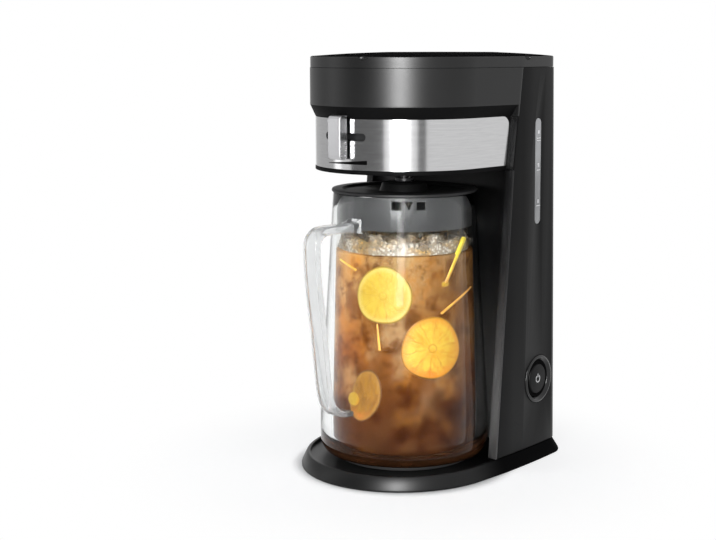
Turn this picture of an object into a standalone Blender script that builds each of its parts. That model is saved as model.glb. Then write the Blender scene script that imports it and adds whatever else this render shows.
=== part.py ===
"""Iced tea maker: a tall brewing tower with a drum-shaped head over a glass jug.

Metres, +Z up. The jug's handle points to the front, -Y, and the power button is on +X.
The origin lies on the table, in the middle of the whole outline. Most pieces are built
about the upright axis that the drum, the brew basket and the jug share.
"""

from math import asin, atan2, ceil, cos, pi, radians, sin, sqrt

import bmesh
import bpy
from mathutils import Matrix, Vector

# Fits
GAP = 0.0003
RUNNING_GAP = 0.0005
OVERRUN = 0.004
MERGE = 0.00001

# Facets
ROUND_STEPS = 48
INNER_STEPS = 28
SMALL_STEPS = 16
TINY_STEPS = 12
ARC_STEPS = 14
CORNER_STEPS = 6
SIDE_STEPS = 5
SMOOTH_ANGLE = radians(32)

# Heights of the stack
FEET_LIFT = 0.0004
BASE_TOP = 0.012
BAY_HEIGHT = 0.2428
HEAD_HEIGHT = 0.0846
HEAD_BOTTOM = BASE_TOP + BAY_HEIGHT
HEAD_TOP = HEAD_BOTTOM + HEAD_HEIGHT
TRAY_SINK = 0.0034
TRAY_HEIGHT = BASE_TOP - TRAY_SINK
SEAT_HEIGHT = 0.0051
SEAT_TOP = TRAY_HEIGHT + SEAT_HEIGHT

# Base outline, at its lower edge and at its upper crease
BASE_FRONT = 0.0902
BASE_HALF_WIDTH = 0.0882
BASE_WAIST = 0.0012
BASE_SIDE = BASE_HALF_WIDTH - BASE_WAIST
BASE_BACK = 0.124
BASE_CORNER = 0.02
BASE_SIDE_ROUND = 0.8
BASE_FLARE_FRONT = 0.0046
BASE_FLARE_SIDE = 0.004
BASE_FLARE_WIDTH = 0.0039
BASE_FLARE_BACK = 0.0042
BASE_CREASE_FRONT = BASE_FRONT - BASE_FLARE_FRONT
BASE_CREASE_SIDE = BASE_SIDE - BASE_FLARE_SIDE
BASE_CREASE_HALF_WIDTH = BASE_HALF_WIDTH - BASE_FLARE_WIDTH
BASE_CREASE_BACK = BASE_BACK - BASE_FLARE_BACK
BASE_LIP = 0.0018
BASE_EDGE_ROUND = 0.0009
BASE_RIM = 0.0032
BASE_WALL = 0.0026
BASE_REAR_CEILING = 0.0094
SIDE_ROUND_START = 0.03
LEAST_CORNER = 0.003

# Base cover, feet and screws
COVER_BOTTOM = 0.0032
COVER_THICKNESS = 0.0018
COVER_SLOT_LENGTH = 0.036
COVER_SLOT_WIDTH = 0.003
COVER_SLOT_PITCH = 0.011
COVER_SLOTS = 5
FOOT_RADIUS = 0.009
FOOT_ROUND = 0.0008
FOOT_PEG_RADIUS = 0.0026
FOOT_PEG_HEIGHT = 0.0016
FOOT_FRONT_INSET = 0.0136
FOOT_FRONT_TURN = radians(43.76)
FOOT_FRONT_X = (BASE_CREASE_SIDE - FOOT_FRONT_INSET) * sin(FOOT_FRONT_TURN)
FOOT_FRONT_BACK = -(BASE_CREASE_FRONT - FOOT_FRONT_INSET) * cos(FOOT_FRONT_TURN)
FOOT_REAR_INSET = 0.0262
FOOT_REAR_X = BASE_HALF_WIDTH - FOOT_REAR_INSET
FOOT_REAR_BACK = 0.1
SCREW_FRONT_INSET = 0.0222
SCREW_FRONT_X = BASE_HALF_WIDTH - SCREW_FRONT_INSET
SCREW_FRONT_BACK = -0.03
SCREW_REAR_INSET = 0.0442
SCREW_REAR_X = BASE_HALF_WIDTH - SCREW_REAR_INSET
SCREW_REAR_BACK = 0.104
SCREW_HEAD_RADIUS = 0.0033
SCREW_HEAD_HEIGHT = 0.0013
SCREW_SHANK_RADIUS = 0.0014
SCREW_LENGTH = 0.0046
BOSS_WALL = 0.002

# Tower outline, low and high
TOWER_HALF_WIDTH_LOW = 0.0828
TOWER_HALF_WIDTH_TOP = 0.0819
TOWER_BACK_LOW = 0.1183
TOWER_BACK_TOP = 0.1132
TOWER_CORNER = 0.013
TOWER_SIDE_ROUND = 0.8
TOWER_WALL = 0.0026
CREASE_BACK_LOW = 0.0219
CREASE_BACK_HEAD = 0.0432
CREASE_BACK_TOP = 0.0548

# Front moulding and the hollow behind the jug
FRONT_WALL = 0.002
RECESS_HALF_WIDTH = 0.0746
RECESS_DEPTH_LOW = 0.0785
RECESS_DEPTH_HIGH = 0.071

# Vents in the back
VENT_COUNT = 6
VENT_WIDTH = 0.003
VENT_HEIGHT = 0.036
VENT_PITCH = 0.009
VENT_CENTRE_HEIGHT = 0.072

# Drum of the head
DRUM_RADIUS = 0.079
DRUM_WALL = 0.0026
CHAMFER_RISE = 0.054
CHAMFER_TOP = HEAD_BOTTOM + CHAMFER_RISE
SEAT_RADIUS = 0.0736
RIM_RADIUS = 0.0749
LIP_RADIUS = 0.075
LIP_WIDTH = 0.0008
LIP_SLANT = 0.0004
SHOULDER = 0.0015
FLOOR_THICKNESS = 0.0026
FLOOR_HOLE_RADIUS = 0.05

# Steel band
BAND_LIFT = 0.0035
BAND_HEIGHT = 0.0408
BAND_BOTTOM = HEAD_BOTTOM + BAND_LIFT
BAND_TOP = BAND_BOTTOM + BAND_HEIGHT
BAND_THICKNESS = 0.0008
BAND_CORNER = 0.0095
BAND_CORNER_STEPS = 4
SLOT_HEIGHT = 0.0063
SLOT_LIFT = 0.0264
SLOT_MIDDLE = BAND_BOTTOM + SLOT_LIFT
SLOT_HALF_ANGLE = radians(17)

# Strength slider
KNOB_WIDTH = 0.0132
KNOB_BACK = 0.0766
KNOB_FRONT = 0.0852
KNOB_LIFT = 0.0084
KNOB_HEIGHT = 0.0351
KNOB_BOTTOM = BAND_BOTTOM + KNOB_LIFT
KNOB_TOP = KNOB_BOTTOM + KNOB_HEIGHT
KNOB_ROUND = 0.0036
KNOB_EDGE = 0.0009
STEM_WIDTH = 0.008
STEM_HEIGHT = 0.0047
CARRIAGE_OUTER = 0.0706
CARRIAGE_THICKNESS = 0.0018
CARRIAGE_HEIGHT = 0.0165
CARRIAGE_HALF_ANGLE = radians(30)
COLLAR_THICKNESS = 0.002
COLLAR_RISE = 0.0069
COLLAR_TOP = BAND_TOP + COLLAR_RISE
COLLAR_PORT_HALF_ANGLE = radians(9)
COLLAR_PORT_HEIGHT = 0.01

# Deck under the lid
DECK_SINK = 0.0048
DECK_BOTTOM = HEAD_TOP - DECK_SINK
DECK_THICKNESS = 0.0026
FILL_LEFT = -0.056
FILL_RIGHT = 0.066
FILL_FRONT = 0.079
FILL_BACK = 0.1
FILL_CORNER = 0.006

# Top lid
LID_INSET = 0.0004
LID_SIDE_HEIGHT = 0.0087
LID_SIDE_TOP = HEAD_TOP + LID_SIDE_HEIGHT
LID_SHOULDER_INSET = 0.0011
LID_SHOULDER_RISE = 0.0007
LID_SHOULDER_TOP = LID_SIDE_TOP + LID_SHOULDER_RISE
LID_SLOPE_INSET = 0.026
LID_SLOPE_RISE = 0.0027
LID_SLOPE_TOP = LID_SIDE_TOP + LID_SLOPE_RISE
LID_SLOPE_SHIFT = 0.008
LID_CROWN_INSET = 0.05
LID_CROWN_RISE = 0.0039
LID_CROWN_TOP = LID_SIDE_TOP + LID_CROWN_RISE
LID_CROWN_SHIFT = 0.02
LID_WALL = 0.0024
LID_CEILING_RISE = 0.0001
LID_CEILING = LID_SIDE_TOP + LID_CEILING_RISE
LID_CEILING_INSET = 0.018
LID_CEILING_DROP = 0.0022
NOTCH_WIDTH = 0.005
NOTCH_HEIGHT = 0.0026
NOTCH_DEPTH = 0.0012
NOTCH_DROP = 0.0017
NOTCH_MIDDLE = LID_SIDE_TOP - NOTCH_DROP
NOTCH_FRONT_ANGLE = radians(16.8)
NOTCH_SIDE_BACK = 0.0605

# Lid hinge
HINGE_RADIUS = 0.0049
EAR_WIDTH = 0.006
EAR_MIDDLE = 0.027
EAR_RADIUS = 0.0042
BRACKET_DEPTH = 0.011
BRACKET_HALF_WIDTH = 0.034
PIN_RADIUS = 0.0016
PIN_CLEARANCE = 0.0003
PIN_REACH = 0.0035
LID_CAVITY_STOP = 0.0042

# Spray head under the lid
SPRAY_RADIUS = 0.042
SPRAY_LIFT = 0.0038
SPRAY_BOTTOM = HEAD_TOP + SPRAY_LIFT
SPRAY_HOLE_RADIUS = 0.0013
SPRAY_HOLE_DEPTH = 0.002
SPRAY_RINGS = ((0.014, 6), (0.028, 10))
SPRAY_ARM_WIDTH = 0.011
SPRAY_ARM_DROP = 0.0024
SPRAY_ARM_TOP = LID_SIDE_TOP - SPRAY_ARM_DROP

# Brew basket and filter
BASKET_FLANGE_RADIUS = 0.07
BASKET_FLANGE = 0.0015
BASKET_RADIUS = 0.0652
BASKET_WAIST_RISE = 0.0452
BASKET_WAIST_HEIGHT = HEAD_BOTTOM + BASKET_WAIST_RISE
BASKET_WAIST_RADIUS = 0.064
BASKET_HIP_RISE = 0.0172
BASKET_HIP_HEIGHT = HEAD_BOTTOM + BASKET_HIP_RISE
BASKET_HIP_RADIUS = 0.057
BASKET_HEEL_RISE = 0.0072
BASKET_HEEL_HEIGHT = HEAD_BOTTOM + BASKET_HEEL_RISE
BASKET_HEEL_RADIUS = 0.046
BASKET_FLOOR_RISE = 0.0054
BASKET_FLOOR_HEIGHT = HEAD_BOTTOM + BASKET_FLOOR_RISE
BASKET_WALL = 0.0018
OUTLET_RADIUS = 0.0106
OUTLET_WALL = 0.002
OUTLET_DROP = 0.0053
OUTLET_BOTTOM = HEAD_BOTTOM - OUTLET_DROP
OUTLET_ROOF_RISE = 0.0022
OUTLET_ROOF = HEAD_BOTTOM + OUTLET_ROOF_RISE
OUTLET_UNDER_RISE = 0.0035
OUTLET_UNDER = HEAD_BOTTOM + OUTLET_UNDER_RISE
VALVE_HOLE_RADIUS = 0.0042
FILTER_WALL = 0.0014
FILTER_RIM = 0.0014
FILTER_RIM_WIDTH = 0.0055
FILTER_GAP = 0.0016
FILTER_RISE = 0.012
FILTER_BOTTOM = HEAD_BOTTOM + FILTER_RISE
FILTER_HIP_RISE = 0.0222
FILTER_HIP_HEIGHT = HEAD_BOTTOM + FILTER_HIP_RISE
FILTER_WINDOWS = 8
FILTER_RIB = 0.006
FILTER_RING = 0.007
SCREEN_WALL = 0.0006

# Drip valve
PLUNGER_DROP = 0.0113
PLUNGER_BOTTOM = HEAD_BOTTOM - PLUNGER_DROP
PLUNGER_BUTTON_RADIUS = 0.0078
PLUNGER_BUTTON_HEIGHT = 0.003
PLUNGER_STEM_RADIUS = 0.003
PLUNGER_CAP_RADIUS = 0.005
PLUNGER_CAP_HEIGHT = 0.001
SEAL_RADIUS = 0.009
SEAL_THICKNESS = 0.0018
SPRING_RADIUS = 0.0056
SPRING_WIRE_RADIUS = 0.00045
SPRING_TURNS = 4
SPRING_TURN_POINTS = 8

# Water tank
TANK_FRONT = 0.0755
TANK_LEFT = -0.06
TANK_DROP = 0.0588
TANK_BOTTOM = HEAD_BOTTOM - TANK_DROP
TANK_FLOOR_INSET = 0.003
TANK_WALL = 0.002
TANK_SIDE_GAP = 0.0006
TANK_CORNER = 0.005
TANK_OUTLET_RADIUS = 0.0052
TANK_OUTLET_BORE = 0.0032
TANK_OUTLET_LENGTH = 0.0085

# Level window
WINDOW_BACK = 0.0812
WINDOW_WIDTH = 0.009
WINDOW_DROP = 0.0488
WINDOW_HEIGHT = 0.0905
WINDOW_BOTTOM = HEAD_BOTTOM - WINDOW_DROP
WINDOW_TOP = WINDOW_BOTTOM + WINDOW_HEIGHT
WINDOW_SINK = 0.0004
WINDOW_STEPS = 8

# Power button, outwards from the side's surface
BUTTON_BACK = 0.0846
BUTTON_HEIGHT = 0.0702
BEZEL_RADIUS = 0.0208
BEZEL_PROUD = 0.0009
BEZEL_EDGE = 0.0002
BEZEL_CREST_RADIUS = 0.0188
BEZEL_SEAT = 0.0007
BEZEL_TUBE_RADIUS = 0.0176
BEZEL_TUBE_WALL = 0.0013
BEZEL_TUBE_DEPTH = 0.014
BEZEL_DISH = 0.0016
RING_DEPTH = 0.0015
RING_HEIGHT = 0.0035
CAP_RADIUS = 0.0131
CAP_SINK = 0.0006
CAP_HEIGHT = 0.0052
CAP_ROUND = 0.0008
CAP_STEM_RADIUS = 0.003
CAP_STEM_LENGTH = 0.0046
BUTTON_SPRING_RADIUS = 0.0055
SWITCH_SIDE = 0.018
SWITCH_DEPTH = 0.01
SWITCH_FLANGE_HEIGHT = 0.0018
SWITCH_TAB_WIDTH = 0.0048
SWITCH_TAB_LENGTH = 0.006
SWITCH_TAB_THICKNESS = 0.0008
SWITCH_TAB_PITCH = 0.008

# Boiler and plumbing, behind the hollow wall
BOILER_BACK = 0.098
BOILER_HALF_WIDTH = 0.043
BOILER_HEIGHT = 0.048
BOILER_TOP = 0.09
BOILER_RADIUS = 0.006
BOILER_BEND = 0.016
ELEMENT_RADIUS = 0.004
ELEMENT_TOP = 0.084
BEND_STEPS = 5
BRACKET_SPREAD = 0.03
BRACKET_SHEET = 0.0015
BOILER_BRACKET_DEPTH = 0.016
HOSE_RADIUS = 0.0055
VALVE_RADIUS = 0.0085
VALVE_LENGTH = 0.024
VALVE_NECK_RADIUS = 0.0055
VALVE_NECK_LENGTH = 0.005
RISER_RADIUS = 0.0045
RISER_X = -0.0662
RISER_BACK = 0.091
RISER_BEND_LOW = 0.12
RISER_BEND_HIGH = 0.16
NOZZLE_RADIUS = 0.0045
NOZZLE_BORE = 0.003
NOZZLE_FLANGE_RADIUS = 0.0068
NOZZLE_FLANGE = 0.0012
NOZZLE_LIFT = 0.0033
NOZZLE_TOP = HEAD_TOP + NOZZLE_LIFT
THERMOSTAT_RADIUS = 0.0085
THERMOSTAT_HEIGHT = 0.007
THERMOSTAT_CAP_RADIUS = 0.0062
THERMOSTAT_CAP_HEIGHT = 0.0025
FUSE_RADIUS = 0.0025
FUSE_LENGTH = 0.012
FUSE_X = -0.0165
TERMINAL_WIDTH = 0.026
TERMINAL_DEPTH = 0.009
TERMINAL_HEIGHT = 0.012
TERMINAL_X = -0.04
TERMINAL_LIFT = 0.115
TERMINAL_GROOVES = 2
TERMINAL_GROOVE = 0.002

# Cord gland
GLAND_X = -0.045
GLAND_HEIGHT = 0.03
GLAND_RADIUS = 0.006
GLAND_FLANGE_RADIUS = 0.0085
GLAND_PROUD = 0.0022
GLAND_NUT = 0.004
GLAND_BORE = 0.0033

# Jug
JUG_BOTTOM = SEAT_TOP + GAP
JUG_FOOT_RADIUS = 0.066
JUG_RADIUS = 0.0722
JUG_HEEL_RISE = 0.012
JUG_HEEL_HEIGHT = JUG_BOTTOM + JUG_HEEL_RISE
JUG_BELLY_RISE = 0.032
JUG_BELLY_HEIGHT = JUG_BOTTOM + JUG_BELLY_RISE
JUG_TOP_RADIUS = 0.0602
JUG_HEADROOM = 0.0193
JUG_TOP = HEAD_BOTTOM - JUG_HEADROOM
JUG_FLOOR = 0.0045
JUG_WALL_LOW = 0.0105
JUG_WALL_TOP = 0.0024
JUG_HEEL_STEPS = 4
JUG_SIDE_STEPS = 4
SPOUT_REACH = 0.007
SPOUT_DEPTH = 0.026
SPOUT_HALF_ANGLE = radians(26)
SEAT_RADIUS_MAT = 0.058
SEAT_EDGE = 0.001

# Jug handle: a ribbon in the middle plane, given by its reach and thickness, and by its height in the jug's
HANDLE_WIDTH = 0.0146
HANDLE_LINE = (
    (0.0585, 0.0135), (0.066, 0.0085), (0.076, 0.0065), (0.097, 0.0065), (0.1042, 0.0065), (0.109, 0.0065),
    (0.1106, 0.0065), (0.1095, 0.0065), (0.1063, 0.0063), (0.1027, 0.006), (0.0997, 0.0058),
    (0.0979, 0.0056),
    (0.0949, 0.0054), (0.0893, 0.0052), (0.0815, 0.0048), (0.0706, 0.0044),
)
HANDLE_HEIGHT_SHARES = (
    0.8916, 0.8885, 0.8885, 0.8885, 0.8804, 0.8600, 0.8284, 0.7269,
    0.6095, 0.4898, 0.3702, 0.3070, 0.2551, 0.2203, 0.2018, 0.1950,
)

# Jug lid
LID_RIM_RADIUS = 0.0614
LID_RIM = 0.0024
JUG_LID_DISH_RADIUS = 0.051
JUG_LID_DISH = 0.0022
JUG_LID_KNOB_RADIUS = 0.019
JUG_LID_KNOB_FOOT = 0.021
JUG_LID_KNOB_RISE = 0.0075
JUG_LID_KNOB_TOP = JUG_TOP + JUG_LID_KNOB_RISE
JUG_LID_KNOB_ROUND = 0.0012
JUG_LID_PLUG_RADIUS = 0.0535
JUG_LID_PLUG_DEPTH = 0.004
JUG_LID_NOTCH = 0.009
SKIRT_DROP = 0.028
SKIRT_BOTTOM = JUG_TOP - SKIRT_DROP
SKIRT_WALL = 0.0018
SKIRT_GAP = 0.0005
STRAINER_ANGLE = radians(45)
STRAINER_SLOT_WIDTH = 0.0075
STRAINER_SLOT_HEIGHT = 0.0065
STRAINER_DROP = 0.004
STRAINER_SLOT_TOP = JUG_TOP - STRAINER_DROP
STRAINER_HALF_ANGLE = radians(10)

# Finishes: colour, metallic, roughness
BLACK_PLASTIC = ("black plastic", (0.035, 0.035, 0.037), 0.0, 0.42)
DARK_PLASTIC = ("dark plastic", (0.022, 0.022, 0.023), 0.0, 0.5)
GREY_PLASTIC = ("grey plastic", (0.1, 0.1, 0.105), 0.0, 0.45)
BRUSHED_STEEL = ("brushed steel", (0.55, 0.55, 0.56), 1.0, 0.28)
BRIGHT_METAL = ("bright metal", (0.7, 0.7, 0.71), 1.0, 0.15)
CLEAR_GLASS = ("clear glass", (0.86, 0.9, 0.9), 0.0, 0.03)
CLEAR_PLASTIC = ("clear plastic", (0.45, 0.46, 0.47), 0.0, 0.2)
TANK_PLASTIC = ("tank plastic", (0.62, 0.64, 0.65), 0.0, 0.3)
SILICONE = ("silicone", (0.5, 0.5, 0.48), 0.0, 0.6)
RUBBER = ("rubber", (0.02, 0.02, 0.02), 0.0, 0.8)
ALUMINIUM = ("aluminium", (0.6, 0.61, 0.62), 1.0, 0.4)
MESH_STEEL = ("mesh steel", (0.5, 0.5, 0.5), 1.0, 0.4)
TERMINAL_WHITE = ("terminal white", (0.75, 0.74, 0.7), 0.0, 0.5)

parts = None
cutters = None


def lerp(low, high, share):
    return low + (high - low) * share


def clear_scene():
    for obj in list(bpy.data.objects):
        bpy.data.objects.remove(obj)
    for mesh in list(bpy.data.meshes):
        bpy.data.meshes.remove(mesh)


def new_collection(name):
    collection = bpy.data.collections.new(name)
    bpy.context.scene.collection.children.link(collection)
    return collection


def finish(values):
    name, colour, metallic, roughness = values
    made = bpy.data.materials.new(name)
    made.use_nodes = True
    shader = made.node_tree.nodes["Principled BSDF"]
    shader.inputs["Base Color"].default_value = (*colour, 1.0)
    shader.inputs["Metallic"].default_value = metallic
    shader.inputs["Roughness"].default_value = roughness
    return made


def add_empty(name, parent, place, turn=(0, 0, 0)):
    empty = bpy.data.objects.new(name, None)
    empty.parent = parent
    empty.location = place
    empty.rotation_euler = turn
    parts.objects.link(empty)
    return empty


def add_part(name, mesh, values, parent, place=(0, 0, 0), turn=(0, 0, 0)):
    obj = bpy.data.objects.new(name, mesh)
    mesh.materials.append(finish(values))
    obj.parent = parent
    obj.location = place
    obj.rotation_euler = turn
    parts.objects.link(obj)
    if mesh.polygons:
        mesh.shade_smooth()
        mesh.set_sharp_from_angle(angle=SMOOTH_ANGLE)
    return obj


def add_cutter(name, mesh, parent, place=(0, 0, 0), turn=(0, 0, 0)):
    obj = bpy.data.objects.new(name, mesh)
    obj.parent = parent
    obj.location = place
    obj.rotation_euler = turn
    obj.hide_render = True
    obj.display_type = "WIRE"
    cutters.objects.link(obj)
    return obj


def combine(obj, other, operation):
    modifier = obj.modifiers.new(operation.title() + " " + other.name, "BOOLEAN")
    modifier.operation = operation
    modifier.object = other
    modifier.solver = "EXACT"


def cut(obj, *others):
    for other in others:
        combine(obj, other, "DIFFERENCE")


def fuse(obj, *others):
    for other in others:
        combine(obj, other, "UNION")


def soften(obj, width, segments=2):
    modifier = obj.modifiers.new("Bevel", "BEVEL")
    modifier.width = width
    modifier.segments = segments
    modifier.limit_method = "ANGLE"
    modifier.angle_limit = SMOOTH_ANGLE


def mesh_of(work, name):
    """The finished mesh of a bmesh, facing outwards."""
    bmesh.ops.recalc_face_normals(work, faces=work.faces)
    mesh = bpy.data.meshes.new(name)
    work.to_mesh(mesh)
    work.free()
    return mesh


def block(width, depth, height, centre=(0, 0, 0)):
    work = bmesh.new()
    bmesh.ops.create_cube(work, size=1)
    bmesh.ops.transform(work, matrix=Matrix.Diagonal((width, depth, height, 1)), verts=work.verts)
    bmesh.ops.translate(work, vec=centre, verts=work.verts)
    return mesh_of(work, "block")


def rod(radius, low, high, steps=SMALL_STEPS, radius_high=None):
    """A cylinder or cone along Z."""
    work = bmesh.new()
    bmesh.ops.create_cone(work, cap_ends=True, segments=steps, radius1=radius,
                          radius2=radius if radius_high is None else radius_high, depth=high - low)
    bmesh.ops.translate(work, vec=(0, 0, (low + high) / 2), verts=work.verts)
    return mesh_of(work, "rod")


def profile(points):
    """A profile in the XZ plane, closed unless both its ends lie on the axis."""
    work = bmesh.new()
    corners = [work.verts.new((radius, 0, height)) for radius, height in points]
    for first, second in zip(corners, corners[1:]):
        work.edges.new((first, second))
    if points[0][0] > 0:
        work.edges.new((corners[-1], corners[0]))
    mesh = bpy.data.meshes.new("profile")
    work.to_mesh(mesh)
    work.free()
    return mesh


def revolve(obj, steps=ROUND_STEPS):
    modifier = obj.modifiers.new("Screw", "SCREW")
    modifier.axis = "Z"
    modifier.steps = steps
    modifier.render_steps = steps
    modifier.use_merge_vertices = True
    modifier.merge_threshold = MERGE
    modifier.use_smooth_shade = True
    return obj


def turned(name, points, values, parent, steps=ROUND_STEPS, place=(0, 0, 0)):
    return revolve(add_part(name, profile(points), values, parent, place), steps)


def solid_mesh(obj):
    """The evaluated mesh of a helper object, welded; the helper is removed."""
    bpy.context.view_layer.update()
    evaluated = obj.evaluated_get(bpy.context.evaluated_depsgraph_get())
    mesh = bpy.data.meshes.new_from_object(evaluated)
    bpy.data.objects.remove(obj)
    work = bmesh.new()
    work.from_mesh(mesh)
    bmesh.ops.remove_doubles(work, verts=work.verts, dist=MERGE)
    bpy.data.meshes.remove(mesh)
    return mesh_of(work, "solid")


def plate(outline, thickness):
    """A flat outline in XY, as thick as asked about its middle plane."""
    curve = bpy.data.curves.new("outline", "CURVE")
    curve.dimensions = "2D"
    curve.fill_mode = "BOTH"
    curve.extrude = thickness / 2
    spline = curve.splines.new("POLY")
    spline.points.add(len(outline) - 1)
    for point, (x, y) in zip(spline.points, outline):
        point.co = (x, y, 0, 1)
    spline.use_cyclic_u = True
    helper = bpy.data.objects.new("outline", curve)
    cutters.objects.link(helper)
    mesh = solid_mesh(helper)
    bpy.data.curves.remove(curve)
    return mesh


def tube(name, route, radius, values, parent, fineness=3):
    """A round bar or hose along a route."""
    curve = bpy.data.curves.new(name, "CURVE")
    curve.dimensions = "3D"
    curve.bevel_depth = radius
    curve.bevel_resolution = fineness
    curve.use_fill_caps = True
    spline = curve.splines.new("POLY")
    spline.points.add(len(route) - 1)
    for point, place in zip(spline.points, route):
        point.co = (*place, 1)
    spline.use_smooth = True
    obj = bpy.data.objects.new(name, curve)
    curve.materials.append(finish(values))
    obj.parent = parent
    parts.objects.link(obj)
    return obj


def loft(rings):
    """A closed solid through rings of as many points each, from one end to the other."""
    work = bmesh.new()
    rows = [[work.verts.new(place) for place in ring] for ring in rings]
    count = len(rows[0])
    for low, high in zip(rows, rows[1:]):
        for i in range(count):
            j = (i + 1) % count
            work.faces.new((low[i], low[j], high[j], high[i]))
    work.faces.new(list(reversed(rows[0])))
    work.faces.new(rows[-1])
    return mesh_of(work, "loft")


def at_height(points, height):
    return [(x, y, height) for x, y in points]


def whole(half):
    """A closed plan from its right half, which runs from the front middle to the back middle."""
    left = [(-x, y) for x, y in reversed(half) if x > 0]
    return half + left


def front_arc(side, reach, inset=0.0, steps=ARC_STEPS):
    """A quarter of the round front, from the front middle to the right side."""
    points = []
    for i in range(steps + 1):
        turn = pi / 2 * i / steps
        points.append(((side - inset) * sin(turn), -(reach - inset) * cos(turn)))
    points[0] = (0.0, -(reach - inset))
    return points


def back_arc(half_width, side_round, corner, back, inset, start):
    """The right side of a plan: a long side curve and the corner at the flat back."""
    centre = half_width - side_round
    rounding = max(corner - inset, LEAST_CORNER)
    corner_y = back - inset - rounding
    reach = side_round - inset - rounding
    lean = asin((corner_y - SIDE_ROUND_START) / reach)
    corner_x = centre + reach * cos(lean)
    radius = side_round - inset
    first = asin(max(0.0, (start - SIDE_ROUND_START) / radius))
    points = [(centre + radius * cos(first), start)]
    for i in range(1, SIDE_STEPS + 1):
        turn = lerp(first, lean, i / SIDE_STEPS)
        points.append((centre + radius * cos(turn), SIDE_ROUND_START + radius * sin(turn)))
    for i in range(1, CORNER_STEPS + 1):
        turn = lerp(lean, pi / 2, i / CORNER_STEPS)
        points.append((corner_x + rounding * cos(turn), corner_y + rounding * sin(turn)))
    return points


def tower_share(height):
    return (height - BASE_TOP) / (HEAD_TOP - BASE_TOP)


def tower_half_width(height):
    return lerp(TOWER_HALF_WIDTH_LOW, TOWER_HALF_WIDTH_TOP, tower_share(height))


def tower_back(height):
    return lerp(TOWER_BACK_LOW, TOWER_BACK_TOP, tower_share(height))


def crease_back(height):
    """How far behind the axis the crease of the cheek stands at a height."""
    if height < HEAD_BOTTOM:
        return lerp(CREASE_BACK_LOW, CREASE_BACK_HEAD, (height - BASE_TOP) / (HEAD_BOTTOM - BASE_TOP))
    return lerp(CREASE_BACK_HEAD, CREASE_BACK_TOP, (height - HEAD_BOTTOM) / (HEAD_TOP - HEAD_BOTTOM))


def tower_rear(height, inset, start):
    return back_arc(tower_half_width(height), TOWER_SIDE_ROUND, TOWER_CORNER, tower_back(height), inset,
                    start)


def tower_side_x(height, back):
    """Where the outer side stands at a height and a distance behind the axis."""
    rise = max(0.0, back - SIDE_ROUND_START)
    return tower_half_width(height) - TOWER_SIDE_ROUND + sqrt(TOWER_SIDE_ROUND**2 - rise**2)


def side_lean(back):
    return asin((back - SIDE_ROUND_START) / TOWER_SIDE_ROUND)


def recess_depth(height):
    share = (height - BASE_TOP) / (HEAD_BOTTOM - BASE_TOP)
    return lerp(RECESS_DEPTH_LOW, RECESS_DEPTH_HIGH, share)


def recess_arc(height, outset):
    """The right half of the hollow wall behind the jug, from its front edge to the middle."""
    crease = crease_back(height)
    points = []
    for i in range(1, ARC_STEPS + 1):
        turn = pi / 2 * i / ARC_STEPS
        side = (RECESS_HALF_WIDTH + outset) * cos(turn)
        points.append((max(0.0, side), crease + (recess_depth(height) + outset - crease) * sin(turn)))
    points[-1] = (0.0, points[-1][1])
    return points


def sector(inner, outer, half_angle, steps):
    """An arc of a ring about the axis, centred on the front."""
    angles = [lerp(-half_angle, half_angle, i / steps) for i in range(steps + 1)]
    far = [(outer * sin(a), -outer * cos(a)) for a in angles]
    near = [(inner * sin(a), -inner * cos(a)) for a in reversed(angles)]
    return far + near


def rounded_box(width, height, corner, steps):
    """A rectangle with round corners about the origin."""
    points = []
    for side_x, side_y, first in ((1, -1, -pi / 2), (1, 1, 0), (-1, 1, pi / 2), (-1, -1, pi)):
        centre = (side_x * (width / 2 - corner), side_y * (height / 2 - corner))
        for i in range(steps + 1):
            turn = first + pi / 2 * i / steps
            points.append((centre[0] + corner * cos(turn), centre[1] + corner * sin(turn)))
    return points


def bent(points, radius, steps=BEND_STEPS):
    """A route through the points with its corners eased."""
    route = [Vector(points[0])]
    for before, corner, after in zip(points, points[1:], points[2:]):
        corner = Vector(corner)
        first = corner + (Vector(before) - corner).normalized() * radius
        last = corner + (Vector(after) - corner).normalized() * radius
        for i in range(steps + 1):
            share = i / steps
            route.append(first.lerp(corner, share).lerp(corner.lerp(last, share), share))
    route.append(Vector(points[-1]))
    return route


def helix(radius, low, high, turns):
    count = turns * SPRING_TURN_POINTS
    return [(radius * cos(2 * pi * i / SPRING_TURN_POINTS), radius * sin(2 * pi * i / SPRING_TURN_POINTS),
             lerp(low, high, i / count)) for i in range(count + 1)]


def base_half(front, side, half_width, back, inset, start=SIDE_ROUND_START):
    rear = back_arc(half_width, BASE_SIDE_ROUND, BASE_CORNER, back, inset, start)
    return front_arc(side, front, inset) + rear


def base_edge(inset):
    return whole(base_half(BASE_FRONT, BASE_SIDE, BASE_HALF_WIDTH, BASE_BACK, inset))


def base_crease(inset):
    return whole(base_half(BASE_CREASE_FRONT, BASE_CREASE_SIDE, BASE_CREASE_HALF_WIDTH,
                           BASE_CREASE_BACK, inset))


def screw_spots():
    return [(side * x, back) for x,
            back in ((SCREW_FRONT_X, SCREW_FRONT_BACK), (SCREW_REAR_X, SCREW_REAR_BACK))
            for side in (-1, 1)]


def foot_spots():
    return [(side * x, back) for x, back in ((FOOT_FRONT_X, FOOT_FRONT_BACK), (FOOT_REAR_X, FOOT_REAR_BACK))
            for side in (-1, 1)]


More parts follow.
